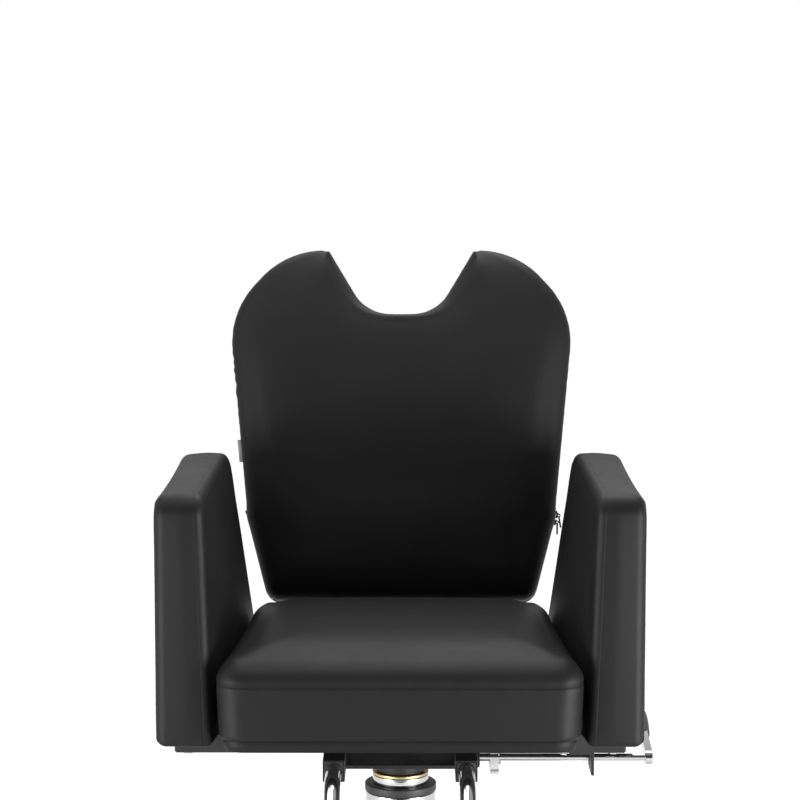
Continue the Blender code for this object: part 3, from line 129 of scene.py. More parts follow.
class Channel:
    """A node's output, on which Python's operators build shader maths."""

    def __init__(self, tree: Tree, socket: bpy.types.NodeSocket) -> None:
        """Wraps an output socket of a tree."""
        self.tree = tree
        self.socket = socket

    def maths(self, operation: str, first: Value, second: Value) -> Channel:
        """The result of a maths node on two values."""
        return self.tree.node("ShaderNodeMath", {"operation": operation}, {0: first, 1: second})

    def __add__(self, other: Value) -> Channel:
        """Adds a value."""
        return self.maths("ADD", self, other)

    def __radd__(self, other: Value) -> Channel:
        """Adds this to a value."""
        return self.maths("ADD", other, self)

    def __sub__(self, other: Value) -> Channel:
        """Takes a value off."""
        return self.maths("SUBTRACT", self, other)

    def __rsub__(self, other: Value) -> Channel:
        """Takes this off a value."""
        return self.maths("SUBTRACT", other, self)

    def __mul__(self, other: Value) -> Channel:
        """Multiplies by a value."""
        return self.maths("MULTIPLY", self, other)

    def __rmul__(self, other: Value) -> Channel:
        """Multiplies a value by this."""
        return self.maths("MULTIPLY", other, self)

    def step(self, low: float, high: float) -> Channel:
        """Eases from 0 at the low value to 1 at the high one."""
        sockets = {"Value": self, "From Min": low, "From Max": high}
        return self.tree.node("ShaderNodeMapRange", {"interpolation_type": "SMOOTHSTEP"}, sockets)


Value = Union[Channel, float]


class Tree:
    """A shader or geometry node tree under construction."""

    def __init__(self, tree: bpy.types.NodeTree) -> None:
        """Wraps the tree that nodes are added to."""
        self.tree = tree

    def node(self, kind: str, settings: Mapping[str, Any] | None = None,
             sockets: Mapping[str | int, Any] | None = None, output: str | int = 0) -> Channel:
        """Adds any node, with its settings and its inputs.

        Args:
            kind: The node's type name.
            settings: Properties of the node.
            sockets: Input sockets by name or number, as constants or channels.
            output: The output that is returned.

        Returns:
            That output as a channel.
        """
        made = self.tree.nodes.new(kind)
        for name, value in (settings or {}).items():
            setattr(made, name, value)
        for key, value in (sockets or {}).items():
            if isinstance(value, Channel):
                self.tree.links.new(value.socket, made.inputs[key])
            else:
                made.inputs[key].default_value = value
        return Channel(self, made.outputs[output])


class Paint(Tree):
    """A material under construction round one Principled shader.

    Attributes:
        WAVE_PITCH: How far apart a wave texture's bands are at a scale of 1, in metres.
    """

    WAVE_PITCH = 0.31

    def __init__(self, name: str, constants: Mapping[str, Any]) -> None:
        """Starts a material.

        Args:
            name: The material's name.
            constants: Shader inputs that are the same all over the surface.
        """
        self.material = bpy.data.materials.new(name)
        self.material.use_nodes = True
        super().__init__(self.material.node_tree)
        self.shader = self.material.node_tree.nodes["Principled BSDF"]
        for key, value in constants.items():
            self.shader.inputs[key].default_value = value

    def feed(self, name: str, channel: Channel) -> None:
        """Links what varies over the surface to an input of the shader."""
        self.tree.links.new(channel.socket, self.shader.inputs[name])

    def place(self, scale: Triple = (1.0, 1.0, 1.0)) -> Channel:
        """The object's own coordinates, with a factor for each axis."""
        spot = self.node("ShaderNodeTexCoord", output="Object")
        return self.node("ShaderNodeMapping", None, {"Vector": spot, "Scale": scale})

    def noise(self, place: Channel, size: float, detail: float = 2.0) -> Channel:
        """Soft noise between 0 and 1, with spots of a size in metres and finer layers of detail."""
        return self.node("ShaderNodeTexNoise", None, {"Vector": place, "Scale": 1 / size, "Detail": detail})

    def waves(self, place: Channel, pitch: float, axis: str) -> Channel:
        """Bands between 0 and 1 along an axis, a pitch in metres apart."""
        sockets = {"Vector": place, "Scale": self.WAVE_PITCH / pitch}
        return self.node("ShaderNodeTexWave", {"bands_direction": axis}, sockets, "Fac")

    def tint(self, colour: Triple, tone: Channel) -> None:
        """Sets the base colour to a colour times a tone."""
        settings = {"data_type": "RGBA", "blend_type": "MULTIPLY"}
        self.feed("Base Color", self.node("ShaderNodeMix", settings, {0: 1.0, 6: (*colour, 1.0), 7: tone}, 2))

    def between(self, share: Channel, first: Triple, second: Triple) -> None:
        """Sets the base colour between two colours: the first at a share of 0, the second at 1."""
        sockets = {0: share, 6: (*first, 1.0), 7: (*second, 1.0)}
        self.feed("Base Color", self.node("ShaderNodeMix", {"data_type": "RGBA"}, sockets, 2))

    def bump(self, height: Channel, depth: float, strength: float) -> None:
        """Gives the surface a relief, in which a height of 1 stands for the depth in metres."""
        sockets = {"Height": height, "Distance": depth, "Strength": strength}
        self.feed("Normal", self.node("ShaderNodeBump", None, sockets))


@dataclass(frozen=True)
class Finish:
    """What all finishes have.

    Attributes:
        name, slot: The material's name, and the record's slot that it stands for, which is not used.
        colour, roughness: Its base colour and its mean roughness.
        metallic: 1 for bare metal.
        gloss: How strongly it mirrors when it isn't bare metal.
    """

    name: str
    slot: Slot
    colour: Triple
    roughness: float
    metallic: float = 0.0
    gloss: float = 0.5

    def material(self) -> bpy.types.Material:
        """Paints the finish on first use.

        Returns:
            The finish's material.
        """
        known = bpy.data.materials.get(self.name)
        if known is not None:
            return known
        constants = {"Base Color": (*self.colour, 1.0), "Roughness": self.roughness,
                     "Metallic": self.metallic, "Specular IOR Level": self.gloss}
        paint = Paint(self.name, constants)
        self.detail(paint)
        return paint.material

    def detail(self, paint: Paint) -> None:
        """Adds what varies over the surface."""
        raise NotImplementedError


@dataclass(frozen=True)
class Mottled(Finish):
    """A plain finish with duller patches.

    Attributes:
        patch: The size of a patch.
        dulling: How far the patches change its roughness, as a share of it.
    """

    patch: float = 0.03
    dulling: float = 0.4

    def detail(self, paint: Paint) -> None:
        """Adds the patches."""
        mottle = paint.noise(paint.place(), self.patch)
        paint.feed("Roughness", self.roughness * (1 - self.dulling / 2 + self.dulling * mottle))


@dataclass(frozen=True)
class FauxLeather(Finish):
    """Coated cloth with a fine pebble grain, duller in its seams, with painted shade in the seams' grooves.

    Attributes:
        pebble, relief: The pitch and the height of the grain.
        rub, rub_tone, rub_dulling: The size of a handling mark, and how far it changes tone and roughness.
        streak, streak_dulling: The size of a streak, and how far it changes the roughness.
        seam_painted_shade, seam_dulling: How much painted shade darkens a seam's groove, and how much rougher
            a seam is.
    """

    pebble: float = 0.0012
    relief: float = 0.00008
    rub: float = 0.11
    rub_tone: float = 0.28
    rub_dulling: float = 0.12
    streak: float = 0.018
    streak_dulling: float = 0.08
    seam_painted_shade: float = 0.45
    seam_dulling: float = 0.12

    def detail(self, paint: Paint) -> None:
        """Adds the grain, handling marks, and painted shade in the seams' grooves.

        Args:
            paint: The material under construction.
        """
        place = paint.place()
        sockets = {"Vector": place, "Scale": 1 / self.pebble, "Smoothness": 0.4}
        pebbles = paint.node("ShaderNodeTexVoronoi", {"feature": "SMOOTH_F1"}, sockets)
        rubbed = paint.noise(place, self.rub, detail=3.0)
        streaks = paint.noise(place, self.streak)
        seam = paint.node("ShaderNodeAttribute", {"attribute_name": "seam"}, output="Fac")
        tone = 1 - self.rub_tone / 2 + self.rub_tone * rubbed
        # Painted shade: the colour is darkened along the seams' grooves, where shade would fall.
        paint.tint(self.colour, tone * (1 - self.seam_painted_shade * seam))
        roughness = self.roughness + self.rub_dulling * (rubbed - 0.5)
        roughness = roughness + self.streak_dulling * (streaks - 0.5) + self.seam_dulling * seam
        paint.feed("Roughness", roughness)
        paint.bump(1 - pebbles, self.relief, strength=0.5)


@dataclass(frozen=True)
class Chrome(Finish):
    """Polished plate with faint smears.

    Attributes:
        smear: The size of a smear.
        dulling, shade: How much rougher and darker it is.
    """

    smear: float = 0.05
    dulling: float = 0.09
    shade: float = 0.06

    def detail(self, paint: Paint) -> None:
        """Adds the smears.

        Args:
            paint: The material under construction.
        """
        smears = paint.noise(paint.place(), self.smear, detail=4.0).step(low=0.35, high=0.8)
        paint.feed("Roughness", self.roughness + self.dulling * smears)
        paint.tint(self.colour, 1 - self.shade * smears)


@dataclass(frozen=True)
class Brushed(Finish):
    """Bare metal with fine lines along one axis.

    Attributes:
        pitch: The pitch of the lines.
        pull: How much each axis is squeezed; the lines run along the least squeezed one.
        tone, dulling: How far the lines change its tone and its roughness.
    """

    pitch: float = 0.0012
    pull: Triple = (1.0, 1.0, 0.04)
    tone: float = 0.24
    dulling: float = 0.22

    def detail(self, paint: Paint) -> None:
        """Adds the lines.

        Args:
            paint: The material under construction.
        """
        lines = paint.noise(paint.place(self.pull), self.pitch, detail=3.0)
        paint.tint(self.colour, 1 - self.tone / 2 + self.tone * lines)
        paint.feed("Roughness", self.roughness + self.dulling * (lines - 0.5))


@dataclass(frozen=True)
class Stippled(Finish):
    """A paint, plastic or rubber with a fine even texture and dust.

    Attributes:
        grain, relief: The size and the height of the texture.
        patch: The size of a dusty patch.
        dust, dulling: How much paler and rougher it is.
    """

    grain: float = 0.0006
    relief: float = 0.00005
    patch: float = 0.06
    dust: float = 0.5
    dulling: float = 0.1

    def detail(self, paint: Paint) -> None:
        """Adds the texture and the dust.

        Args:
            paint: The material under construction.
        """
        place = paint.place()
        dusty = paint.noise(place, self.patch, detail=5.0).step(low=0.4, high=0.75)
        paint.tint(self.colour, 1 + self.dust * dusty)
        paint.feed("Roughness", self.roughness + self.dulling * dusty)
        paint.bump(paint.noise(place, self.grain), self.relief, strength=0.4)


@dataclass(frozen=True)
class Plywood(Finish):
    """Stained plywood with its plies on the edges.

    Attributes:
        dark: The colour of its darker grain.
        grain: The size of that grain.
        pull: How much each axis is squeezed; the grain runs along the least squeezed one.
        ply, ply_share: The thickness of a pair of plies, and their share in the colour.
    """

    dark: Triple = (0.045, 0.034, 0.025)
    grain: float = 0.02
    pull: Triple = (8.0, 0.6, 1.0)
    ply: float = 0.003
    ply_share: float = 0.4

    def detail(self, paint: Paint) -> None:
        """Adds the grain and the plies.

        Args:
            paint: The material under construction.
        """
        grain = paint.noise(paint.place(self.pull), self.grain, detail=4.0).step(low=0.3, high=0.7)
        plies = paint.waves(paint.place(), self.ply, "Z")
        paint.between(grain * (1 - self.ply_share) + plies * self.ply_share, self.colour, self.dark)


@dataclass(frozen=True)
class Woven(Finish):
    """A woven tape.

    Attributes:
        thread, relief: The pitch of its threads, and how far they stand up.
        tone: How far the weave changes its tone.
    """

    thread: float = 0.0007
    relief: float = 0.0001
    tone: float = 0.5

    def detail(self, paint: Paint) -> None:
        """Adds the weave.

        Args:
            paint: The material under construction.
        """
        place = paint.place()
        weave = paint.waves(place, self.thread, "Z") * paint.waves(place, self.thread, "X")
        paint.tint(self.colour, 1 - self.tone / 2 + self.tone * weave)
        paint.bump(weave, self.relief, strength=0.5)


LEATHER = FauxLeather("cover_leather", Slot.LEATHER, (0.0068, 0.0068, 0.0072), 0.54, gloss=0.21)
CHROME = Chrome("polished_chrome", Slot.CHROME, (0.58, 0.585, 0.59), 0.06, 1.0)
STEEL = Brushed("plated_steel", Slot.STEEL, (0.56, 0.57, 0.58), 0.32, 1.0)
PAINT = Stippled("powder_coat", Slot.PAINT, (0.014, 0.014, 0.015), 0.44, gloss=0.3)
BRONZE = Brushed("worn_bronze", Slot.BRONZE, (0.55, 0.40, 0.20), 0.36, 1.0)
PLASTIC = Stippled("moulded_plastic", Slot.PLASTIC, (0.020, 0.020, 0.021), 0.48, dust=0.3)
RUBBER = Stippled("ribbed_rubber", Slot.RUBBER, (0.025, 0.025, 0.025), 0.78, relief=0.0001)
PLYWOOD = Plywood("stained_plywood", Slot.PLYWOOD, (0.085, 0.068, 0.053), 0.66)
TAPE = Woven("grey_tape", Slot.TAPE, (0.52, 0.52, 0.52), 0.88)
ZIP_TAPE = Woven("zip_tape", Slot.PLASTIC, (0.016, 0.016, 0.017), 0.85)
THREAD = Mottled("sewing_thread", Slot.PLASTIC, (0.03, 0.03, 0.031), 0.6)


@dataclass
class Shape:
    """Points and faces of a mesh under construction.

    Attributes:
        points: One row of coordinates per point.
        faces: Point numbers of each face.
    """

    points: Array
    faces: list[tuple[int, ...]]

    def __add__(self, other: Shape) -> Shape:
        """Puts two shapes into one."""
        faces = [tuple(index + len(self.points) for index in face) for face in other.faces]
        return Shape(np.vstack([self.points, other.points]), self.faces + faces)

    def placed(self, place: Matrix) -> Shape:
        """The shape moved and turned by a transform."""
        return Shape(moved(self.points, place), self.faces)

    def built(self, name: str, finish: Finish, sharp: float = math.radians(50)) -> bpy.types.Object:
        """Makes an object of the shape.

        Args:
            name: The object's name.
            finish: What it is made of.
            sharp: Edges that turn by more than this stay sharp.

        Returns:
            The object, linked to the scene.
        """
        mesh = bpy.data.meshes.new(name)
        mesh.from_pydata(self.points.tolist(), [], self.faces)
        skin = bmesh.new()
        skin.from_mesh(mesh)
        bmesh.ops.recalc_face_normals(skin, faces=skin.faces)
        skin.to_mesh(mesh)
        skin.free()
        mesh.shade_smooth()
        mesh.set_sharp_from_angle(angle=sharp)
        mesh.materials.append(finish.material())
        return linked(name, mesh)


def moved(points: Array, place: Matrix) -> Array:
    """Points moved and turned by a transform."""
    return points @ np.array(place.to_3x3()).T + np.array(place.translation)


def linked(name: str, mesh: bpy.types.Mesh) -> bpy.types.Object:
    """Puts a mesh into the scene.

    Args:
        name: The object's name.
        mesh: Its mesh.

    Returns:
        The new object.
    """
    thing = bpy.data.objects.new(name, mesh)
    bpy.context.scene.collection.objects.link(thing)
    return thing


def settle(piece: bpy.types.Object) -> bpy.types.Object:
    """Turns an object with modifiers into a plain mesh.

    Args:
        piece: The object.

    Returns:
        The same object without modifiers.
    """
    graph = bpy.context.evaluated_depsgraph_get()
    plain = bpy.data.meshes.new_from_object(piece.evaluated_get(graph))
    piece.modifiers.clear()
    piece.data = plain
    return piece


def dress(piece: bpy.types.Object, body: Body, finish: Finish, *nodes: str) -> None:
    """Lets a finished piece ride on a body and stand for its solids.

    Args:
        piece: The piece.
        body: What it moves with.
        finish: What it is made of; not used.
        nodes: The solids that it stands for.
    """
    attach(piece, body.value)
    if nodes:
        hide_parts(*nodes)
    LOG.info("%s rides on %s", piece.name, body.value)


def stand_in(shape: Shape, body: Body, finish: Finish, node: str) -> None:
    """Makes a shape the piece that stands for one solid and is named after it."""
    dress(shape.built(f"{node}_part", finish), body, finish, node)


def joined(shapes: Sequence[Shape]) -> Shape:
    """Puts several shapes into one."""
    return sum(shapes[1:], shapes[0])


def filleted(corners: Sequence[Triple], closed: bool = True, steps: int = 10) -> Array:
    """A line through corners that are rounded off.

    Args:
        corners: Each corner's two coordinates and its radius.
        closed: Whether the line comes back to its start.
        steps: The steps of each round.

    Returns:
        The line's points.
    """
    points: list[Vector] = []
    last = len(corners) - 1
    for index, (first, second, radius) in enumerate(corners):
        here = Vector((first, second))
        if radius <= 0 or (not closed and index in (0, last)):
            points.append(here)
            continue
        before = (Vector(corners[index - 1][:2]) - here).normalized()
        after = (Vector(corners[(index + 1) % len(corners)][:2]) - here).normalized()
        half = before.angle(after) / 2
        centre = here + (before + after).normalized() * (radius / math.sin(half))
        start = here + before * (radius / math.tan(half)) - centre
        end = here + after * (radius / math.tan(half)) - centre
        turn = math.atan2(start.cross(end), start.dot(end))
        angle = math.atan2(start.y, start.x)
        turns = [angle + turn * step / steps for step in range(steps + 1)]
        points += [centre + radius * Vector((math.cos(a), math.sin(a))) for a in turns]
    return np.array([tuple(point) for point in points])


def lengths_along(line: Array) -> Array:
    """How far along a line each of its points is."""
    steps = np.linalg.norm(np.diff(line, axis=0), axis=1)
    return np.concatenate([[0.0], np.cumsum(steps)])


def resampled(line: Array, steps: int) -> Array:
    """A line cut into equal steps.

    Args:
        line: Its points.
        steps: How many steps it gets.

    Returns:
        The new points, both ends kept.
    """
    reach = lengths_along(line)
    spots = np.linspace(0, reach[-1], steps + 1)
    return np.stack([np.interp(spots, reach, line[:, axis]) for axis in range(line.shape[1])], axis=1)


def recut(outline: Array, steps: int) -> Array:
    """A closed outline cut into equal steps, its first point not repeated."""
    return resampled(np.vstack([outline, outline[:1]]), steps)[:-1]


def cut_ring(outline: Array, marks: Sequence[Pair], across: int, up: int) -> Array:
    """A closed outline cut at four marks into runs of even steps.

    Args:
        outline: Its points, anticlockwise.
        marks: Points near its four corners: foot start, foot end, top start and top end.
        across: The steps of the foot and of the top.
        up: The steps of each side.

    Returns:
        The ring's points from the first mark on.
    """
    spots = [int(np.argmin(np.linalg.norm(outline - np.array(mark), axis=1))) for mark in marks]
    ring = np.roll(outline, -spots[0], axis=0)
    ring = np.vstack([ring, ring[:1]])
    cuts = [(spot - spots[0]) % len(outline) for spot in spots] + [len(outline)]
    runs = [resampled(ring[low:high + 1], steps)[:-1]
            for low, high, steps in zip(cuts, cuts[1:], (across, up, across, up))]
    return np.vstack(runs)


def normals_of(ring: Array) -> Array:
    """Outward unit normals of a flat anticlockwise ring, one for each of its points."""
    along = np.roll(ring, -1, axis=0) - np.roll(ring, 1, axis=0)
    return np.stack([along[:, 1], -along[:, 0]], axis=1) / np.linalg.norm(along, axis=1, keepdims=True)


def lofted(rings: Sequence[Array], looped: bool = False) -> Shape:
    """A skin over rings of equal counts.

    Args:
        rings: The rings' points.
        looped: Whether the last ring joins the first; otherwise both ends are closed.

    Returns:
        The closed shape.
    """
    count, levels = len(rings[0]), len(rings)
    faces: list[tuple[int, ...]] = []
    for level in range(levels if looped else levels - 1):
        near, far = level * count, (level + 1) % levels * count
        for index in range(count):
            following = (index + 1) % count
            faces.append((near + index, near + following, far + following, far + index))
    if not looped:
        faces.append(tuple(range(count)))
        faces.append(tuple(range((levels - 1) * count, levels * count)))
    return Shape(np.vstack(rings), faces)


def turned(profile: Sequence[Pair], looped: bool = False, segments: int = 96) -> Shape:
    """A solid turned about Z.

    Args:
        profile: Radii and heights.
        looped: Whether the profile comes back to its start, as a tube's does.
        segments: The facets round it.

    Returns:
        The shape.
    """
    angles = np.linspace(0, 2 * math.pi, segments, endpoint=False)
    circle = np.stack([np.cos(angles), np.sin(angles), np.zeros(segments)], axis=1)
    rings = [circle * radius + np.array((0, 0, height)) for radius, height in profile]
    return lofted(rings, looped)


def spun(corners: Sequence[Triple], looped: bool = False, segments: int = 96, steps: int = 5) -> Shape:
    """A solid turned about Z from corners with their radii, heights and rounds of some steps."""
    return turned([tuple(spot) for spot in filleted(corners, looped, steps)], looped, segments)


def swept(path: Array, radius: float, sides: int = 24) -> Shape:
    """A round bar along a path.

    Args:
        path: The points that it follows.
        radius: The bar's radius.
        sides: The facets round it.

    Returns:
        The shape.
    """
    headings = np.gradient(path, axis=0)
    angles = np.linspace(0, 2 * math.pi, sides, endpoint=False)[:, None]
    # The first facet may lie anywhere round the bar, so this is any direction that no path has.
    turn = Vector((0.3, 0.5, 0.8))
    rings = []
    for point, heading in zip(path, headings):
        along = Vector(heading).normalized()
        turn = (turn - along * turn.dot(along)).normalized()
        other = along.cross(turn)
        rings.append(point + radius * (np.cos(angles) * np.array(turn) + np.sin(angles) * np.array(other)))
    return lofted(rings)


def facing(start: Sequence[float], heading: Sequence[float]) -> Matrix:
    """A transform to a start, with its Z axis along a heading."""
    turn = Vector((0, 0, 1)).rotation_difference(Vector(heading)).to_matrix().to_4x4()
    return Matrix.Translation(Vector(start)) @ turn


def bar_between(start: Sequence[float], end: Sequence[float], radius: float, edge: float) -> Shape:
    """A round bar between two points with rounded ends.

    Args:
        start: The middle of one end.
        end: The middle of the other end.
        radius: The bar's radius.
        edge: The round of its ends.

    Returns:
        The shape.
    """
    span = Vector(end) - Vector(start)
    inner = radius - 1.2 * edge
    corners = [(inner, 0, 0), (radius, 0, edge), (radius, span.length, edge), (inner, span.length, 0)]
    return spun(corners, segments=48, steps=4).placed(facing(start, span))


@dataclass(frozen=True)
class Grid:
    """How finely a cover is cut.

    Attributes:
        across: The steps of its foot and top.
        up: The steps of its sides.
        arcs: The steps of each rounded edge.
        sewn: Whether seams and ripples are worked in.
    """

    across: int
    up: int
    arcs: int
    sewn: bool


@dataclass
class Skin:
    """A closed cover: two panels joined by rings round the pad's side.

    Attributes:
        rings: The rings' points, from the face panel's edge to the rear panel's.
        face: The face panel's grid of points, its edge on the first ring.
        rear: The rear panel's grid of points, its edge on the last ring.
        seams: How close each ring is to a seam, from 0 to 1, which sets the painted shade in the seam's
            groove.
        held: The rings that stay put when the cover is blown up.
    """

    rings: Array
    face: Array
    rear: Array
    seams: Array
    held: Array

    def shape(self) -> Shape:
        """Joins rings and panels.

        Returns:
            The closed shape, with the rings' points first.
        """
        levels, count, _ = self.rings.shape
        numbers = np.arange(levels * count).reshape(levels, count)
        following = np.roll(numbers, -1, axis=1)
        quads = np.stack([numbers[:-1], following[:-1], following[1:], numbers[1:]], axis=-1).reshape(-1, 4)
        points, faces = [self.rings.reshape(-1, 3)], [quads]
        start = levels * count
        for level, panel in ((0, self.face), (levels - 1, self.rear)):
            up, across = panel.shape[0] - 1, panel.shape[1] - 1
            grid = np.zeros((up + 1, across + 1), int)
            grid[0] = level * count + np.arange(across + 1)
            grid[:, -1] = level * count + across + np.arange(up + 1)
            grid[-1] = level * count + across + up + np.arange(across, -1, -1)
            grid[:, 0] = level * count + (2 * across + up + np.arange(up, -1, -1)) % count
            inside = panel[1:-1, 1:-1].reshape(-1, 3)
            grid[1:-1, 1:-1] = start + np.arange(len(inside)).reshape(up - 1, across - 1)
            start += len(inside)
            points.append(inside)
            quads = np.stack([grid[:-1, :-1], grid[:-1, 1:], grid[1:, 1:], grid[1:, :-1]], axis=-1)
            faces.append(quads.reshape(-1, 4))
        return Shape(np.vstack(points), [tuple(face) for face in np.vstack(faces).tolist()])

    def over_points(self, values: Array, total: int) -> Array:
        """Spreads one value per ring over all of the shape's points, with 0 inside the panels."""
        spread = np.repeat(values, self.rings.shape[1])
        return np.pad(spread, (0, total - len(spread)))


def panel_in(ring: Array, grid: Grid, relaxing: int = 25) -> Array:
    """A grid of points filled in between a ring's four runs.

    Args:
        ring: The ring's points.
        grid: How the ring is cut.
        relaxing: How often the inner points are evened out.

    Returns:
        Rows of points from the ring's foot to its top.
    """
    across, up = grid.across, grid.up
    foot, right = ring[:across + 1], ring[across:across + up + 1]
    top = ring[across + up:2 * across + up + 1][::-1]
    left = np.vstack([ring[2 * across + up:], ring[:1]])[::-1]
    s = np.linspace(0, 1, across + 1)[None, :, None]
    t = np.linspace(0, 1, up + 1)[:, None, None]
    ruled = (1 - t) * foot[None] + t * top[None] + (1 - s) * left[:, None] + s * right[:, None]
    corners = (1 - s) * (1 - t) * foot[0] + s * (1 - t) * foot[-1] + (1 - s) * t * top[0] + s * t * top[-1]
    panel = ruled - corners
    for _ in range(relaxing):
        around = panel[:-2, 1:-1] + panel[2:, 1:-1] + panel[1:-1, :-2] + panel[1:-1, 2:]
        panel[1:-1, 1:-1] = around / 4
    return panel


def pillow(distance: Lengths, reach: Lengths, power: float = 2.4) -> Lengths:
    """The rise of a filled pad: 0 on its edge, 1 from its reach on; a higher power fills the edge."""
    share = 1 - np.minimum(distance / reach, 1.0)
    return (1 - share ** power) ** (1 / power)


def tree_of(points: Array) -> KDTree:
    """A tree in which the points near a place are found.

    Args:
        points: The points.

    Returns:
        The tree.
    """
    tree = KDTree(len(points))
    for index, point in enumerate(points):
        tree.insert(point, index)
    tree.balance()
    return tree


def from_edge(spots: Array, outline: Array) -> tuple[Array, Array]:
    """How far flat points lie from an outline.

    Args:
        spots: The points, in a grid.
        outline: The outline's points.

    Returns:
        Each distance, and the number of the outline's nearest point.
    """
    tree = tree_of(np.pad(outline, ((0, 0), (0, 1))))
    _, numbers, distances = zip(*[tree.find((*spot, 0.0)) for spot in spots.reshape(-1, 2)])
    shape = spots.shape[:-1]
    return np.array(distances).reshape(shape), np.array(numbers).reshape(shape)


def evened(heights: Array, rounds: int) -> Array:
    """Evens a panel's heights out.

    Args:
        heights: A height for each point of the panel.
        rounds: How often.

    Returns:
        The smoother heights, the same on the edge.
    """
    smooth = heights.copy()
    for _ in range(rounds):
        around = smooth[:-2, 1:-1] + smooth[2:, 1:-1] + smooth[1:-1, :-2] + smooth[1:-1, 2:]
        smooth[1:-1, 1:-1] = 0.5 * smooth[1:-1, 1:-1] + around / 8
    return smooth


def dome(grid: Grid, power: float = 1.3) -> Array:
    """A swelling that is 1 in the middle of a panel and 0 on its edge; a power above 1 starts level."""
    s, t = (np.sin(np.pi * np.linspace(0, 1, steps + 1)) ** power for steps in (grid.across, grid.up))
    return np.abs(t[:, None] * s[None, :])


def quarter(radius: float, steps: int) -> list[Pair]:
    """A rounded edge: how far each of its rings is behind the panel, and how far it is drawn in."""
    angles = [math.pi / 2 * (1 - step / steps) for step in range(steps + 1)]
    return [(radius * (1 - math.sin(a)), radius * (1 - math.cos(a))) for a in angles]


def ripples(along: Array, wave: float, seed: float) -> Array:
    """Uneven ripples between -1 and 1 along an edge; the seed sets one edge apart from another."""
    turns = 2 * np.pi * along / wave
    return 0.6 * np.sin(turns + 1.7 * np.sin(turns / 5.3 + seed)) + 0.4 * np.sin(turns / 2.17 + 3 * seed)


def inflated(shape: Shape, held: Array, pressure: float, frames: int, ironing: int = 4) -> Array:
    """Blows a closed cover up as cloth.

    Args:
        shape: The cover.
        held: Which points stay put.
        pressure: The pressure inside.
        frames: How long it is blown up.
        ironing: How often the swelling is evened out.

    Returns:
        How far each point moved outwards.
    """
    thing = shape.built("blown", LEATHER)
    thing.vertex_groups.new(name="held").add(np.flatnonzero(held).tolist(), 1.0, "REPLACE")
    cloth = thing.modifiers.new("cloth", "CLOTH")
    settings = cloth.settings
    settings.quality = 6
    settings.mass = 0.2
    settings.tension_stiffness = 30
    settings.compression_stiffness = 30
    settings.shear_stiffness = 12
    settings.bending_stiffness = 1.0
    settings.use_pressure = True
    settings.uniform_pressure_force = pressure
    settings.vertex_group_mass = "held"
    settings.effector_weights.gravity = 0.0
    cloth.collision_settings.use_collision = False
    cloth.point_cache.frame_end = frames
    for frame in range(1, frames + 1):
        bpy.context.scene.frame_set(frame)
    blown = thing.evaluated_get(bpy.context.evaluated_depsgraph_get()).data
    places, normals = np.zeros(shape.points.size), np.zeros(shape.points.size)
    blown.vertices.foreach_get("co", places)
    thing.data.vertices.foreach_get("normal", normals)
    normals = normals.reshape(-1, 3)
    swell = np.maximum(np.einsum("ij,ij->i", places.reshape(-1, 3) - shape.points, normals), 0)
    edges = np.array([tuple(edge.vertices) for edge in thing.data.edges])
    both = np.vstack([edges, edges[:, ::-1]])
    neighbours = np.bincount(both[:, 0], minlength=len(swell))
    for _ in range(ironing):
        around = np.bincount(both[:, 0], swell[both[:, 1]], len(swell)) / neighbours
        swell = np.where(held, 0, 0.5 * swell + 0.5 * around)
    bpy.data.objects.remove(thing)
    bpy.context.scene.frame_set(1)
    return normals * swell[:, None]


def carried(rest: Array, shift: Array, points: Array, near: int = 6, blur: float = 0.002) -> Array:
    """Carries a shift from coarse points over to fine ones.

    Args:
        rest: The coarse points.
        shift: How far each of them moved.
        points: The fine points.
        near: How many coarse points each fine one listens to.
        blur: The distance below which these count about alike.

    Returns:
        How far each fine point moves.
    """
    tree = tree_of(rest)
    moves = np.zeros_like(points)
    for index, point in enumerate(points):
        found = tree.find_n(point, near)
        numbers = [entry[1] for entry in found]
        weights = np.array([1 / (entry[2] + blur) ** 2 for entry in found])
        moves[index] = weights @ shift[numbers] / weights.sum()
    return moves


@dataclass
class Upholstery:
    """A padded piece with a sewn cover.

    Attributes:
        fine, rough: How finely the cover that shows and the one that is blown up are cut.
        pressure, frames: The pressure that blows it up, and for how long.
        give: The furthest that it swells.
        fill: How full it is, from 0 to 1; not used.
        backed: Whether its rear panel lies against something.
    """

    fine: Grid = Grid(140, 120, 8, True)
    rough: Grid = Grid(40, 36, 3, False)
    pressure: float = 6.0
    give: float = 0.006
    frames: int = 18
    fill: float = 0.85
    backed: bool = True

    def skin(self, grid: Grid) -> Skin:
        """The cover before it is blown up, cut as finely as a grid says."""
        raise NotImplementedError

    def blown(self) -> tuple[Shape, Array]:
        """The cover after it is blown up.

        Returns:
            Its shape, and how close each point is to a seam.
        """
        skin = self.skin(self.fine)
        shape = skin.shape()
        rough_skin = self.skin(self.rough)
        rough = rough_skin.shape()
        held = rough_skin.over_points(rough_skin.held, len(rough.points))
        held[len(held) - rough_skin.rear[1:-1, 1:-1, 0].size:] = self.backed
        shift = inflated(rough, held, self.pressure, self.frames)
        reach = np.linalg.norm(shift, axis=1, keepdims=True)
        LOG.info("%s swelled by %.1f mm", type(self).__name__, 1000 * reach.max())
        shift *= self.give * np.tanh(reach / self.give) / np.maximum(reach, WELD)
        shape.points += carried(rough.points, shift, shape.points)
        return shape, skin.over_points(skin.seams, len(shape.points))

    def upholstered(self, name: str, shape: Shape, seams: Array, body: Body, node: str) -> None:
        """Makes the padded piece of its cover.

        Args:
            name: The piece's name.
            shape: The cover's shape.
            seams: How close each point is to a seam.
            body: What it moves with.
            node: The solid that it stands for.
        """
        piece = shape.built(name, LEATHER, sharp=math.radians(80))
        # The seam attribute sets the painted shade in the seams' grooves, and their dulling.
        closeness = piece.data.attributes.new("seam", "FLOAT", "POINT")
        closeness.data.foreach_set("value", seams.astype(np.float32))
        dress(piece, body, LEATHER, node)


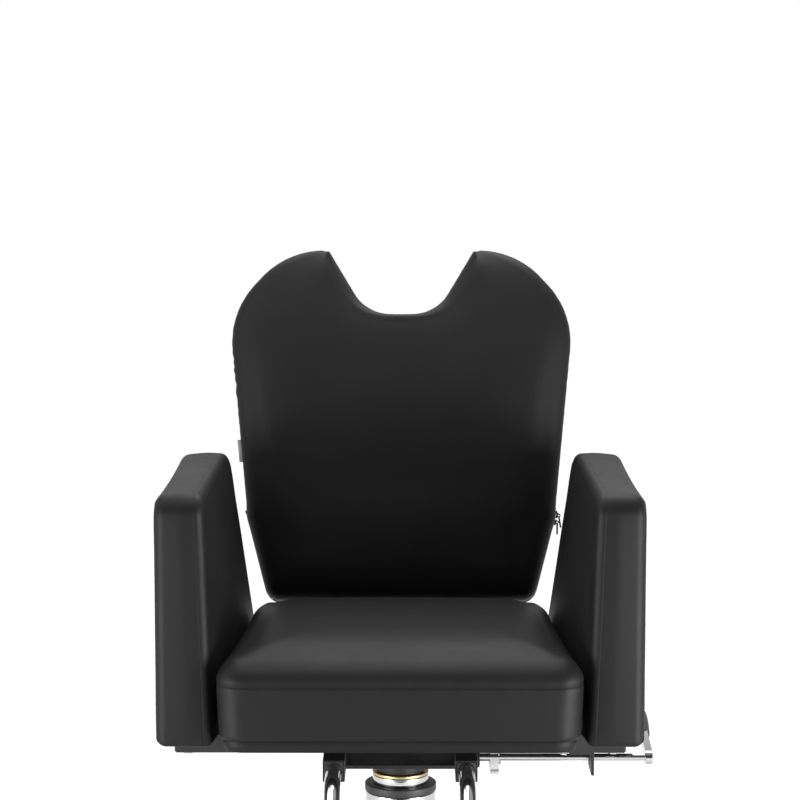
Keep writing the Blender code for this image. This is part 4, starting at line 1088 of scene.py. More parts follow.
@dataclass
class BackCushion(Upholstery):
    """The backrest's cushion with its neck cut-out, made upright and then leant back.

    Attributes:
        hinge, tilt: The recline axis, from which heights are measured, and how far it leans back.
        foot, waist, top: The heights of its foot, of the taper's upper end and of its top.
        half_foot, half_waist, half_top: Half its widths there, before the shoulders are cut.
        shoulder_cut, shoulder_round: Where a shoulder's flat starts, and the radius at its ends.
        shoulder_drop: How far below the top the shoulders end.
        rounds: The radii at the foot, at the waist and at the cut-out's tips.
        neck_half_top, neck_half_floor: Half the cut-out's widths at its mouth and its floor.
        neck_depth, neck_round: Its depth, and the radius of its lower corners.
        face_y, rear_y: Where the face's flat and the rear panel are.
        crown, belly: How far the small of the back and the face's middle swell beyond that flat.
        face_reach: How far from its edge the face is full.
        floor_reach, slope_reach: The same at the cut-out's floor and tips, and halfway up its slopes.
        swell_reach: How far from the edge the swellings are full.
        edge_inset: How far the rings of the face's edge reach in.
        rear_round, rear_swell: The radius of the rear edge, and how far the rear panel swells.
        seam_y: Where the face's seam runs round the side.
        seam_steps, side_start: How far off it the rings beside it are, and where wider ones start.
        groove: How deep the seam is, and half its width in millimetres.
        slack: The height at which it is loose, how far that spreads, and the right side's share.
        pucker: How high the ripples of a tight and of a loose seam are.
        ripple: How long they are, and how many millimetres off the seam they fade.
        tip_fade: How far the tips sharpen the face's edge, and the share that is left there.
        lumbar: The height of the small of the back, and its spread sideways and upwards.
        zip_y, zip_room: Where the zip runs round the side, and how far off it the next rings are.
        zip_bump: How far the zip's ends lift the cover, how high above the waist, and how wide.
        dart: Which way the dart at each tip runs.
        dart_size: How long, how deep and how wide it is.
        dart_start: How far outside the tip it lies, and where it starts along its way.
        dart_end: How many millimetres behind the seam it ends.
    """

    fine: Grid = Grid(240, 110, 10, True)
    rough: Grid = Grid(64, 36, 3, False)
    hinge: Triple = (0.0, 0.225, 0.3756)
    tilt: float = math.radians(14)
    foot: float = 0.078
    waist: float = 0.200
    top: float = 0.614
    half_foot: float = 0.200
    half_waist: float = 0.232
    half_top: float = 0.273
    shoulder_cut: float = 0.097
    shoulder_round: float = 0.130
    shoulder_drop: float = 0.140
    rounds: Triple = (0.025, 0.030, 0.010)
    neck_half_top: float = 0.1113
    neck_half_floor: float = 0.052
    neck_depth: float = 0.100
    neck_round: float = 0.066
    face_y: float = -0.050
    rear_y: float = 0.040
    crown: float = 0.012
    belly: float = 0.012
    face_reach: float = 0.055
    floor_reach: float = 0.008
    slope_reach: float = 0.030
    swell_reach: float = 0.11
    edge_inset: float = 0.014
    rear_round: float = 0.010
    rear_swell: float = 0.004
    seam_y: float = -0.022
    seam_steps: tuple[float, ...] = (-0.002, -0.001, 0, 0.001, 0.002, 0.0035, 0.006)
    side_start: float = 0.010
    groove: Pair = (0.0010, 1.3)
    slack: Triple = (0.42, 0.05, 0.15)
    pucker: Pair = (0.00015, 0.0009)
    ripple: Pair = (0.016, 14.0)
    tip_fade: Pair = (0.060, 0.3)
    lumbar: Triple = (0.187, 0.135, 0.050)
    zip_y: float = 0.0245
    zip_room: float = 0.004
    zip_bump: Triple = (0.0012, 0.007, 0.011)
    dart: Pair = (-0.5, -0.866)
    dart_size: Triple = (0.020, 0.0022, 0.0018)
    dart_start: Pair = (0.005, -0.006)
    dart_end: float = 20.0

    def place(self) -> Matrix:
        """The transform of the upright cushion onto the recline axis."""
        return Matrix.Translation(self.hinge) @ Matrix.Rotation(-self.tilt, 4, "X")

    def outline(self) -> Array:
        """The cushion seen from the front.

        Returns:
            Points of its outline, anticlockwise.
        """
        foot_round, waist_round, tip_round = self.rounds
        side = Vector((self.half_top - self.half_waist, self.top - self.waist)).normalized()
        side *= self.shoulder_cut
        right = [(self.half_foot, self.foot, foot_round), (self.half_waist, self.waist, waist_round)]
        right.append((self.half_top - side.x, self.top - side.y, self.shoulder_round))
        right.append((self.half_top - self.shoulder_cut, self.top, self.shoulder_round))
        right.append((self.neck_half_top, self.top, tip_round))
        right.append((self.neck_half_floor, self.top - self.neck_depth, self.neck_round))
        left = [(-x, height, radius) for x, height, radius in reversed(right)]
        return filleted(right + left, steps=16)

    def ring(self, grid: Grid) -> Array:
        """The outline cut into runs at the foot's corners and under the shoulders.

        Args:
            grid: How finely it is cut.

        Returns:
            The ring's points.
        """
        shoulder = self.top - self.shoulder_drop
        marks = [(-self.half_foot, self.foot), (self.half_foot, self.foot)]
        marks += [(self.half_top, shoulder), (-self.half_top, shoulder)]
        ring = cut_ring(self.outline(), marks, grid.across, grid.up)
        lift, rise, spread = self.zip_bump
        bump = lift * np.exp(-((ring[:, 1] - self.waist - rise) / spread) ** 2)
        ring[:, 0] += np.sign(ring[:, 0]) * bump * (np.abs(ring[:, 0]) > self.half_foot)
        return ring

    def reach(self, spots: Array) -> Array:
        """How far from the outline the face is full: less along the cut-out.

        Args:
            spots: Points of the outline.

        Returns:
            A length for each.
        """
        floor = self.top - self.neck_depth
        at_neck = (np.abs(spots[:, 0]) < self.neck_half_top) & (spots[:, 1] > floor - self.face_reach)
        up_slope = np.clip((spots[:, 1] - floor) / self.neck_depth, 0, 1)
        neck = self.floor_reach + (self.slope_reach - self.floor_reach) * np.sin(math.pi * up_slope)
        return np.where(at_neck, neck, self.face_reach)

    def rise(self, spots: Array, distance: Array, reach: Array) -> Array:
        """How far the face stands off its seam.

        Args:
            spots: Widths and heights of its points.
            distance: How far each is from the outline.
            reach: How far from there the face is full.

        Returns:
            A length for each.
        """
        x, height = np.abs(spots[..., 0]), spots[..., 1]
        lumbar, sideways, upwards = self.lumbar
        small_of_back = np.exp(-(x / sideways) ** 2 - ((height - lumbar) / upwards) ** 2)
        middle, reach_up = (self.foot + self.top) / 2, (self.top - self.foot) / 2
        swell = self.crown * small_of_back + self.belly * (1 - ((height - middle) / reach_up) ** 2)
        crown = (1 - np.exp(-(distance / self.swell_reach) ** 2)) * swell
        return (self.seam_y - self.face_y) * pillow(distance, reach) + crown

    def fold(self, spots: Array) -> Array:
        """How far the darts at the cut-out's tips draw the face in.

        Args:
            spots: Widths and heights of its points.

        Returns:
            A length for each.
        """
        length, depth, width = self.dart_size
        outside, start = self.dart_start
        offset = np.stack([np.abs(spots[..., 0]), spots[..., 1]], axis=-1)
        offset = offset - (self.neck_half_top + outside, self.top)
        along = offset @ np.array(self.dart)
        across = offset @ np.array((self.dart[1], -self.dart[0]))
        share = np.clip(1 - along / length, 0, 1) * (along > start)
        return depth * np.exp(-(across / width) ** 2) * share

    def skin(self, grid: Grid) -> Skin:
        """The cover before it is blown up.

        Args:
            grid: How finely it is cut.

        Returns:
            The cover.
        """
        ring = self.ring(grid)
        normals = normals_of(ring)
        mouth = np.array((self.neck_half_top, self.top))
        from_tip = np.linalg.norm(np.abs(ring * (1, 0)) + ring * (0, 1) - mouth, axis=1)
        fade, least = self.tip_fade
        share = np.clip(from_tip / fade, least, 1.0)
        height, spread, right = self.slack
        slack = np.where(ring[:, 0] < 0, 1.0, right) * np.exp(-((ring[:, 1] - height) / spread) ** 2)
        tight, loose = self.pucker
        pucker = tight + loose * slack * (np.abs(ring[:, 0]) > self.half_foot)
        length, fade = self.ripple
        waves = pucker * ripples(lengths_along(ring), length, seed=0.7)

        insets = [self.edge_inset * share * (step / grid.arcs) ** 2 for step in range(grid.arcs, 0, -1)]
        reach = self.reach(ring)
        places = [(self.seam_y - self.rise(ring - normals * inset[:, None], inset, reach), inset)
                  for inset in insets]
        sides = [self.seam_y + step for step in (self.seam_steps if grid.sewn else (0,))]
        first, last = self.seam_y + self.side_start, self.zip_y - 2 * self.zip_room
        sides += list(np.linspace(first, last, 5 if grid.sewn else 2))
        sides += [self.zip_y - self.zip_room, self.zip_y, self.zip_y + self.zip_room]
        places += [(y, 0.0) for y in sides]
        edge = reversed(quarter(self.rear_round, grid.arcs // 2))
        places += [(self.rear_y - depth, inset) for depth, inset in edge]

        deep, wide = self.groove
        rings, seams, held = [], [], []
        for y, inset in places:
            depth = np.full(len(ring), 1.0) * y
            off = (float(np.mean(y)) - self.seam_y) / MILLIMETRE
            groove = math.exp(-(off / wide) ** 2) if grid.sewn else 0.0
            inset = inset + deep * groove
            if grid.sewn:
                inset = inset + waves * math.exp(-(off / fade) ** 2) + self.fold(ring) * (off < self.dart_end)
            flat = ring - normals * np.reshape(np.ones(len(ring)) * inset, (-1, 1))
            rings.append(np.stack([flat[:, 0], depth, flat[:, 1]], axis=1))
            # The groove's mask also sets its painted shade.
            seams.append(groove)
            held.append(off > -NEAR_SEAM)

        outline = recut(self.outline(), steps=2400)
        face, rear = panel_in(rings[0], grid), panel_in(rings[-1], grid)
        distance, number = from_edge(face[..., ::2], outline)
        rise = self.rise(face[..., ::2], distance, self.reach(outline)[number])
        face[1:-1, 1:-1, 1] = self.seam_y - rise[1:-1, 1:-1]
        face[..., 1] = evened(face[..., 1], rounds=30 if grid.sewn else 2)
        if grid.sewn:
            face[..., 1] += self.fold(face[..., ::2])
        rear[..., 1] += dome(grid) * self.rear_swell
        leant, face, rear = (moved(points, self.place()) for points in (np.array(rings), face, rear))
        return Skin(leant, face, rear, np.array(seams), np.array(held))

    def build(self) -> None:
        """Makes the cushion."""
        shape, seams = self.blown()
        self.upholstered("backrest_cover", shape, seams, Body.BACK, "back_cushion")


@dataclass
class ArmPad(Upholstery):
    """An upholstered arm with a leaning inner side.

    Attributes:
        outer, inner_top: How far from the middle the outer side and the inner side's top are.
        toe_in: How much nearer the inner side is at the rear.
        lean_front, lean_rear: How far the inner side comes in at the foot, in front and at the rear.
        front, rear, bottom, top: Where it ends.
        rounds: The radii at its foot, at the top's rear and at the top's front.
        inner_round, outer_round: The radii of its inner and outer edges.
        crown, swell: How far the strip over front, top and rear swells, and how far the panels do.
        tilt: How much lower the top's outer edge is.
        seam: How far behind the inner edge the strip's seam is, and half its width.
        seam_steps, side_shares: Where rings lie beside the seam, and on the rest of the strip.
        groove: How deep the seam is, and how dark its painted shade is.
        ripple: How high and long its ripples are, and how many half widths off it they fade.
    """

    fine: Grid = Grid(120, 96, 7, True)
    rough: Grid = Grid(36, 30, 3, False)
    give: float = 0.0018
    backed: bool = False
    outer: float = 0.327
    inner_top: float = 0.262
    toe_in: float = 0.0055
    lean_front: float = 0.012
    lean_rear: float = 0.048
    front: float = -0.215
    rear: float = 0.210
    bottom: float = 0.3442
    top: float = 0.6852
    rounds: Triple = (0.006, 0.017, 0.027)
    inner_round: float = 0.012
    outer_round: float = 0.013
    crown: float = 0.0015
    swell: float = 0.003
    tilt: float = 0.004
    seam: Pair = (0.0012, 0.0006)
    seam_steps: tuple[float, ...] = (0.0006, 0.0012, 0.0018, 0.003, 0.006)
    side_shares: tuple[float, ...] = (0.35, 0.5, 0.65, 0.82)
    groove: Pair = (0.0003, 0.25)
    ripple: Triple = (0.00006, 0.021, 8.0)

    def inner(self, y: Lengths, z: Lengths) -> Lengths:
        """How far from the middle the inner side is.

        Args:
            y: A depth, or many.
            z: A height, or as many.

        Returns:
            The distance from the middle.
        """
        share = (y - self.front) / (self.rear - self.front)
        lean = self.lean_front + (self.lean_rear - self.lean_front) * share
        return self.inner_top - self.toe_in * share - lean * (self.top - z) / (self.top - self.bottom)

    def skin(self, grid: Grid) -> Skin:
        """The cover before it is blown up, for the arm on the right.

        Args:
            grid: How finely it is cut.

        Returns:
            The cover.
        """
        foot_round, rear_round, front_round = self.rounds
        corners = [(self.front, self.bottom, foot_round), (self.rear, self.bottom, foot_round)]
        corners += [(self.rear, self.top, rear_round), (self.front, self.top, front_round)]
        outline = recut(filleted(corners, steps=14), steps=900)
        ring = cut_ring(outline, [corner[:2] for corner in corners], grid.across, grid.up)
        normals = normals_of(ring)
        inner = self.inner(ring[:, 0], ring[:, 1])
        pucker, length, fade = self.ripple
        waves = pucker * ripples(lengths_along(ring), length, seed=1.9)
        lifted = np.clip(1 + normals[:, 1], 0, 1)

        near, far = inner + self.inner_round, np.full(len(ring), self.outer - self.outer_round)
        places = [(inner + depth, inset, OFF_SEAM) for depth, inset in quarter(self.inner_round, grid.arcs)]
        seam, half_width = self.seam
        steps = self.seam_steps if grid.sewn else (seam,)
        places += [(near + step, 0.0, (step - seam) / half_width) for step in steps]
        places += [(near + (far - near) * share, 0.0, OFF_SEAM) for share in self.side_shares]
        edge = reversed(quarter(self.outer_round, grid.arcs))
        places += [(self.outer - depth, inset, OFF_SEAM) for depth, inset in edge]

        share = (ring[:, 0] - self.front) / (self.rear - self.front)
        sag = self.tilt * (0.5 + np.sin(np.pi * np.clip(share, 0, 1))) * np.clip(normals[:, 1], 0, 1)
        deep, dark = self.groove
        rings, seams, held = [], [], []
        for x, inset, off in places:
            groove = math.exp(-off ** 2)
            across = np.clip((x - inner) / (self.outer - inner), 0, 1)
            drawn = inset + sag * across ** 1.5 - self.crown * lifted * np.sin(np.pi * across) ** 2
            if grid.sewn:
                drawn = drawn + deep * groove
                drawn = drawn + waves * math.exp(-(off / fade) ** 2)
            flat = ring - normals * np.reshape(np.ones(len(ring)) * drawn, (-1, 1))
            rings.append(np.stack([np.ones(len(ring)) * x, flat[:, 0], flat[:, 1]], axis=1))
            # The seam mask carries the groove's painted shade, scaled by how dark it is.
            seams.append(dark * groove if grid.sewn else 0.0)
            held.append(abs(off) < NEAR_SEAM)

        face, rear = panel_in(rings[0], grid), panel_in(rings[-1], grid)
        face[..., 0] -= dome(grid) * self.swell
        rear[..., 0] += dome(grid) * self.swell
        return Skin(np.array(rings), face, rear, np.array(seams), np.array(held))

    def build(self) -> None:
        """Makes both arms, one the mirror image of the other, level where they rest on their rails."""
        shape, seams = self.blown()
        shape.points[:, 2] = np.maximum(shape.points[:, 2], self.bottom)
        for side in Side:
            mirrored = Shape(shape.points * (side.value, 1, 1), shape.faces)
            name = side.name.lower()
            self.upholstered(f"arm_cover_{name}", mirrored, seams, Body.SEAT, f"arm_pad_{name}")


@dataclass
class SeatCushion(Upholstery):
    """The crowned seat cushion between the arms, and the cover's turn-in round the board under it.

    Attributes:
        arm, gap: The arms, which the seat's sides follow, and its distance from them.
        front, rear, bottom, top: Where it ends, and the height of its top edge.
        crown: How far its middle rises above that.
        edge_round, reach: How far the rings of that edge reach in, and from where the top is full.
        corner_round, foot_round: The radii of its corners seen from above, and of its lower edge.
        draw_in: How far its sides are drawn in.
        seam_drop: How far below its rounded edge the seam is.
        seam_steps, side_room: Where rings lie beside the seam, and how far others keep off seam and foot.
        groove: How deep the seam is, and half its width in millimetres.
        ripple: How high and long its ripples are, and how many millimetres off it they fade.
        held_foot: How high up the foot is held while the cover is blown up.
        strip_top, strip_foot: The turn-in's rises above the board's two faces, with their insets.
        strip_inset: The inset of its inner side.
    """

    arm: ArmPad = field(default_factory=ArmPad)
    give: float = 0.005
    front: float = -0.250
    rear: float = 0.188
    bottom: float = 0.3595
    top: float = 0.4635
    crown: float = 0.020
    gap: float = 0.004
    edge_round: float = 0.026
    reach: float = 0.15
    corner_round: float = 0.035
    foot_round: float = 0.006
    draw_in: float = 0.004
    seam_drop: float = 0.004
    seam_steps: tuple[float, ...] = (0, -0.0007, -0.0015, -0.003, -0.006)
    side_room: Pair = (0.012, 0.010)
    groove: Pair = (0.0010, 1.2)
    ripple: Triple = (0.0004, 0.023, 9.0)
    held_foot: float = 0.011
    strip_top: tuple[Pair, ...] = ((0.0002, 0.0075), (-0.002, 0.0066))
    strip_foot: tuple[Pair, ...] = ((0.002, 0.0066), (-0.0001, 0.0085), (-0.0001, 0.030), (-0.00005, 0.030))
    strip_inset: float = 0.0079

    def plan(self, z: float, inset: float, grid: Grid) -> Array:
        """The seat's outline at a height.

        Args:
            z: The height.
            inset: How far it is drawn in.
            grid: How finely it is cut.

        Returns:
            The ring's points, in space.
        """
        front, rear = self.front + inset, self.rear - inset
        half_front = self.arm.inner(self.arm.front, z) - self.gap - inset
        half_rear = self.arm.inner(rear, z) - self.gap - inset
        radius = max(self.corner_round - inset, 0.002)
        corners = [(-half_front, front, radius), (half_front, front, radius)]
        corners += [(half_rear, rear, radius), (-half_rear, rear, radius)]
        outline = recut(filleted(corners, steps=12), steps=900)
        ring = cut_ring(outline, [corner[:2] for corner in corners], grid.across, grid.up)
        share = (ring[:, 1] - front) / (rear - front)
        x = ring[:, 0] - np.sign(ring[:, 0]) * self.draw_in * np.sin(np.pi * share)
        return np.stack([x, ring[:, 1], np.full(len(ring), z)], axis=1)

    def skin(self, grid: Grid) -> Skin:
        """The cover before it is blown up.

        Args:
            grid: How finely it is cut.

        Returns:
            The cover.
        """
        seam = self.top - self.edge_round - self.seam_drop
        rise = self.top + self.crown - seam
        insets = [self.edge_round * (step / grid.arcs) ** 2 for step in range(grid.arcs, 0, -1)]
        places = [(seam + rise * pillow(inset, self.reach), inset) for inset in insets]
        places += [(seam + step, 0.0) for step in (self.seam_steps if grid.sewn else (0,))]
        below, above = self.side_room
        places += [(z, 0.0) for z in np.linspace(seam - below, self.bottom + above, 5)]
        edge = reversed(quarter(self.foot_round, grid.arcs // 2))
        places += [(self.bottom + depth, inset) for depth, inset in edge]
        deep, wide = self.groove
        pucker, length, fade = self.ripple
        rings, seams, held = [], [], []
        for z, inset in places:
            off = (z - seam) / MILLIMETRE
            groove = math.exp(-(off / wide) ** 2)
            ring = self.plan(z, inset + (deep * groove if grid.sewn else 0.0), grid)
            if grid.sewn:
                waves = pucker * ripples(lengths_along(ring), length, seed=0.2) * math.exp(-(off / fade) ** 2)
                ring[:, :2] -= normals_of(ring[:, :2]) * waves[:, None]
            rings.append(ring)
            # The groove's mask also sets its painted shade.
            seams.append(groove if grid.sewn else 0.0)
            held.append(abs(off) < NEAR_SEAM or z < self.bottom + self.held_foot)
        face, rear = panel_in(rings[0], grid), panel_in(rings[-1], grid)
        distance, _ = from_edge(face[..., :2], resampled(self.plan(seam, 0.0, grid)[:, :2], steps=1800))
        heights = seam + rise * pillow(distance, self.reach)
        face[1:-1, 1:-1, 2] = heights[1:-1, 1:-1]
        face[..., 2] = evened(face[..., 2], rounds=40 if grid.sewn else 2)
        return Skin(np.array(rings), face, rear, np.array(seams), np.array(held))

    def turn_in(self) -> Shape:
        """The cover's strip round the board's edge and under it.

        Returns:
            The strip.
        """
        low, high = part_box("seat_board")
        grid = Grid(across=60, up=50, arcs=3, sewn=False)
        section = [(high.z + rise, inset) for rise, inset in self.strip_top]
        section += [(low.z + rise, inset) for rise, inset in self.strip_foot]
        section += [(low.z + self.strip_foot[-1][0], self.strip_inset), (high.z, self.strip_inset)]
        return lofted([self.plan(z, inset, grid) for z, inset in section], looped=True)

    def build(self) -> None:
        """Makes the cushion and the strip under it."""
        shape, seams = self.blown()
        self.upholstered("seat_cover", shape, seams, Body.SEAT, "seat_cushion")
        dress(self.turn_in().built("seat_cover_turn_in", LEATHER), Body.SEAT, LEATHER)


def taken_from(skin: bmesh.types.BMesh) -> Shape:
    """Takes the shape out of a mesh under work, which is freed.

    Args:
        skin: The mesh.

    Returns:
        Its points and faces.
    """
    skin.verts.index_update()
    points = np.array([tuple(corner.co) for corner in skin.verts])
    faces = [tuple(corner.index for corner in face.verts) for face in skin.faces]
    skin.free()
    return Shape(points, faces)


def softened(node: str, finish: Finish, edge: float = 0.001) -> bpy.types.Object:
    """A copy of a solid with its hard edges rounded off.

    Args:
        node: The solid.
        finish: What the copy is made of.
        edge: The width of the rounding.

    Returns:
        The copy, named after the solid.
    """
    skin = bmesh.new()
    skin.from_mesh(bpy.data.objects[node].data)
    bmesh.ops.remove_doubles(skin, verts=skin.verts, dist=WELD)
    bmesh.ops.dissolve_limit(skin, angle_limit=math.radians(1), verts=skin.verts, edges=skin.edges)
    piece = taken_from(skin).built(f"{node}_part", finish, sharp=math.pi)
    bevel = piece.modifiers.new("edges", "BEVEL")
    bevel.width = edge
    bevel.segments = 2
    bevel.limit_method = "ANGLE"
    bevel.angle_limit = math.radians(40)
    bevel.harden_normals = True
    return settle(piece)


def soften_all(body: Body, finish: Finish, nodes: Sequence[str], edge: float = 0.001) -> None:
    """Rounds several solids of one body and finish off."""
    for node in nodes:
        dress(softened(node, finish, edge), body, finish, node)


def rounded_box(low: Sequence[float], high: Sequence[float], edge: float) -> Shape:
    """A box with rounded edges.

    Args:
        low: Its lowest corner.
        high: Its highest corner.
        edge: The width of the rounding, 0 for none.

    Returns:
        The shape.
    """
    skin = bmesh.new()
    bmesh.ops.create_cube(skin, size=1)
    middle, size = (Vector(low) + Vector(high)) / 2, Vector(high) - Vector(low)
    for corner in skin.verts:
        corner.co = middle + corner.co * size
    if edge > 0:
        bmesh.ops.bevel(skin, geom=skin.edges, offset=edge, segments=2, profile=0.5, affect="EDGES")
    return taken_from(skin)


def block(half_length: float, half_width: float, foot: float, top: float, edge: float) -> Shape:
    """A box with rounded edges round the Z axis."""
    return rounded_box((-half_length, -half_width, foot), (half_length, half_width, top), edge)


class Row(Tree):
    """A Geometry Nodes tree that repeats a part along paths, upright on the surface that they run on."""

    INPUTS = {"Paths": "NodeSocketGeometry", "Part": "NodeSocketObject", "Pitch": "NodeSocketFloat",
              "Finish": "NodeSocketMaterial"}

    def __init__(self) -> None:
        """Builds the tree."""
        super().__init__(bpy.data.node_groups.new("row_along_paths", "GeometryNodeTree"))
        face = self.tree.interface
        self.keys = {name: face.new_socket(name, in_out="INPUT", socket_type=kind).identifier
                     for name, kind in self.INPUTS.items()}
        face.new_socket("Row", in_out="OUTPUT", socket_type="NodeSocketGeometry")
        start = self.tree.nodes.new("NodeGroupInput")
        given = {name: Channel(self, start.outputs[name]) for name in self.INPUTS}
        curve = self.node("GeometryNodeMeshToCurve", None, {"Mesh": given["Paths"]})
        sockets = {"Curve": curve, "Length": given["Pitch"]}
        curve = self.node("GeometryNodeResampleCurve", {"mode": "LENGTH"}, sockets)
        heading = self.node("GeometryNodeInputTangent")
        up = self.node("GeometryNodeInputNamedAttribute", {"data_type": "FLOAT_VECTOR"}, {"Name": "up"})
        turn = self.node("FunctionNodeAlignRotationToVector", {"axis": "X"}, {"Vector": heading})
        sockets = {"Rotation": turn, "Vector": up}
        turn = self.node("FunctionNodeAlignRotationToVector", {"axis": "Z", "pivot_axis": "X"}, sockets)
        part = self.node("GeometryNodeObjectInfo", None, {"Object": given["Part"]}, "Geometry")
        sockets = {"Points": curve, "Instance": part, "Rotation": turn}
        copies = self.node("GeometryNodeInstanceOnPoints", None, sockets)
        real = self.node("GeometryNodeRealizeInstances", None, {"Geometry": copies})
        done = self.node("GeometryNodeSetMaterial", None, {"Geometry": real, "Material": given["Finish"]})
        end = self.tree.nodes.new("NodeGroupOutput")
        self.tree.links.new(done.socket, end.inputs["Row"])

    def along(self, name: str, paths: Sequence[Line], part: Shape, pitch: float,
              finish: Finish) -> bpy.types.Object:
        """Repeats a part along paths.

        Args:
            name: The name of the piece.
            paths: For each path its points and the way up at each of them.
            part: What is repeated, with X along the path and Z up.
            pitch: The step from one copy to the next.
            finish: What it is made of.

        Returns:
            The copies as one plain piece.
        """
        edges, start = [], 0
        for points, _ in paths:
            edges += [(start + index, start + index + 1) for index in range(len(points) - 1)]
            start += len(points)
        mesh = bpy.data.meshes.new(name)
        mesh.from_pydata(np.vstack([points for points, _ in paths]).tolist(), edges, [])
        ups = np.vstack([up for _, up in paths]).astype(np.float32)
        mesh.attributes.new("up", "FLOAT_VECTOR", "POINT").data.foreach_set("vector", ups.ravel())
        model = part.built(f"{name}_model", finish)
        piece = linked(name, mesh)
        modifier = piece.modifiers.new("row", "NODES")
        modifier.node_group = self.tree
        modifier[self.keys["Part"]] = model
        modifier[self.keys["Pitch"]] = pitch
        modifier[self.keys["Finish"]] = finish.material()
        settle(piece)
        bpy.data.objects.remove(model)
        return piece


@dataclass
class ZipFastener:
    """The zip round the foot of the backrest's cover, its sliders and their pulls.

    Attributes:
        cushion: The cushion whose cover it closes.
        row: The tree that sets teeth and stitches.
        rise, bend: How far it runs on above the waist, and how far below it those ends start.
        half_tape, clear, proud: Half its tape's width, and how far off the cover its two faces are.
        pitch, tooth: The step of its teeth, and a tooth's half length, half width and height.
        stop, stop_edge: An end stop's half length, half width, foot and top, and its edges' round.
        stitch, sewn: The step of its stitches, and how far from its middle they run.
        thread, thread_radius: The line of a stitch, and the thread's radius.
        eye: The radius of a pull's ring, and of its wire.
        tab: Half a pull's thickness and width, how far below its ring it starts, and its edges' round.
        upper_swing: How far the upper pull hangs off the plumb line.
    """

    cushion: BackCushion
    row: Row
    rise: float = 0.0165
    bend: float = 0.002
    half_tape: float = 0.0054
    clear: float = 0.0001
    proud: float = 0.0007
    pitch: float = 0.0019
    tooth: Triple = (0.0006, 0.0025, 0.0015)
    stop: Quad = (0.0022, 0.0042, -0.0006, 0.0021)
    stop_edge: float = 0.0007
    stitch: float = 0.0032
    sewn: float = 0.0045
    thread: tuple[Triple, ...] = ((-0.0011, 0, 0), (-0.0004, 0, 0.0002), (0.0004, 0, 0.0002), (0.0011, 0, 0))
    thread_radius: float = 0.0002
    eye: Pair = (0.0019, 0.0009)
    tab: Quad = (0.0013, 0.0019, 0.0017, 0.0006)
    upper_swing: float = math.radians(9)

    def line(self, offset: float, lift: float) -> Line:
        """A line along the zip.

        Args:
            offset: How far to the rear of the zip's middle it runs.
            lift: How far off the cover it runs.

        Returns:
            Its points and outward directions, from the left end to the right.
        """
        cushion = self.cushion
        lean = math.atan2(cushion.half_waist - cushion.half_foot, cushion.waist - cushion.foot)
        end = (cushion.half_waist + self.rise * math.sin(lean),
               cushion.waist + self.rise * math.cos(lean))
        outward = np.array((math.cos(lean), -math.sin(lean)))
        ring = cushion.ring(cushion.fine)
        normals = normals_of(ring)
        low = ring[:, 1] < cushion.waist - self.bend
        order = np.roll(np.arange(len(ring)), -1 - np.flatnonzero(~low)[-1])
        below = order[low[order]]
        flat = np.vstack([(-end[0], end[1]), ring[below], end])
        sideways = np.vstack([outward * (-1, 1), normals[below], outward])
        points = flat + sideways * lift
        depth = np.full(len(points), cushion.zip_y + offset)
        space = moved(np.stack([points[:, 0], depth, points[:, 1]], axis=1), cushion.place())
        ups = np.stack([sideways[:, 0], np.zeros(len(points)), sideways[:, 1]], axis=1)
        return space, ups @ np.array(cushion.place().to_3x3()).T

    def tape(self) -> Shape:
        """The woven tape under the teeth.

        Returns:
            The shape.
        """
        half = self.half_tape
        corners = [(-half, self.clear), (half, self.clear), (half, self.proud), (-half, self.proud)]
        lines = [self.line(offset, lift)[0] for offset, lift in corners]
        return lofted([np.array(section) for section in zip(*lines)])

    def stops(self) -> Shape:
        """The two end stops.

        Returns:
            The shape.
        """
        points, ups = self.line(0.0, self.proud)
        blocks = []
        for index, following in ((0, 1), (-1, -2)):
            along = Vector(points[index] - points[following]).normalized()
            out = Vector(ups[index])
            turn = Matrix((along, out.cross(along), out)).transposed().to_4x4()
            place = Matrix.Translation(Vector(points[index])) @ turn
            blocks.append(block(*self.stop, self.stop_edge).placed(place))
        return joined(blocks)

    def build(self) -> None:
        """Makes the zip, its sliders and its pulls."""
        dress(self.tape().built("zip_tape", ZIP_TAPE), Body.BACK, ZIP_TAPE, "zip_chain")
        half_length, half_width, height = self.tooth
        tooth = block(half_length, half_width, 0.0, height, 0.0)
        teeth = self.row.along("zip_teeth", [self.line(0.0, self.proud)], tooth, self.pitch, PLASTIC)
        dress(teeth, Body.BACK, PLASTIC)
        thread = swept(np.array(self.thread), self.thread_radius, sides=5)
        paths = [self.line(offset, self.proud) for offset in (-self.sewn, self.sewn)]
        stitches = self.row.along("zip_stitches", paths, thread, self.stitch, THREAD)
        dress(stitches, Body.BACK, THREAD)
        dress(self.stops().built("zip_stops", PAINT), Body.BACK, PAINT)
        soften_all(Body.SLIDERS, PAINT, ("zip_slider_upper", "zip_slider_lower"), edge=0.0012)
        for body, swing in ((Body.UPPER_PULL, self.upper_swing), (Body.LOWER_PULL, 0.0)):
            self.pull(body, swing)

    def pull(self, body: Body, swing: float) -> None:
        """Makes one pull: a ring and a tab.

        Args:
            body: The pull's body.
            swing: How far it hangs off the plumb line.
        """
        node = f"zip_{'_'.join(reversed(body.value.split('_')))}"
        low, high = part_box(node)
        middle = (low + high) / 2
        radius, wire = self.eye
        angles = np.linspace(0, 2 * math.pi, 25)
        ring = np.stack([radius * np.sin(angles), np.zeros(len(angles)), radius * np.cos(angles)], axis=1)
        half_thickness, half_width, drop, edge = self.tab
        tab = block(half_thickness, half_width, low.z - high.z, -drop, edge)
        place = Matrix.Translation((middle.x, middle.y, high.z)) @ Matrix.Rotation(-swing, 4, "Y")
        stand_in((swept(ring, wire, sides=8) + tab).placed(place), body, PAINT, node)


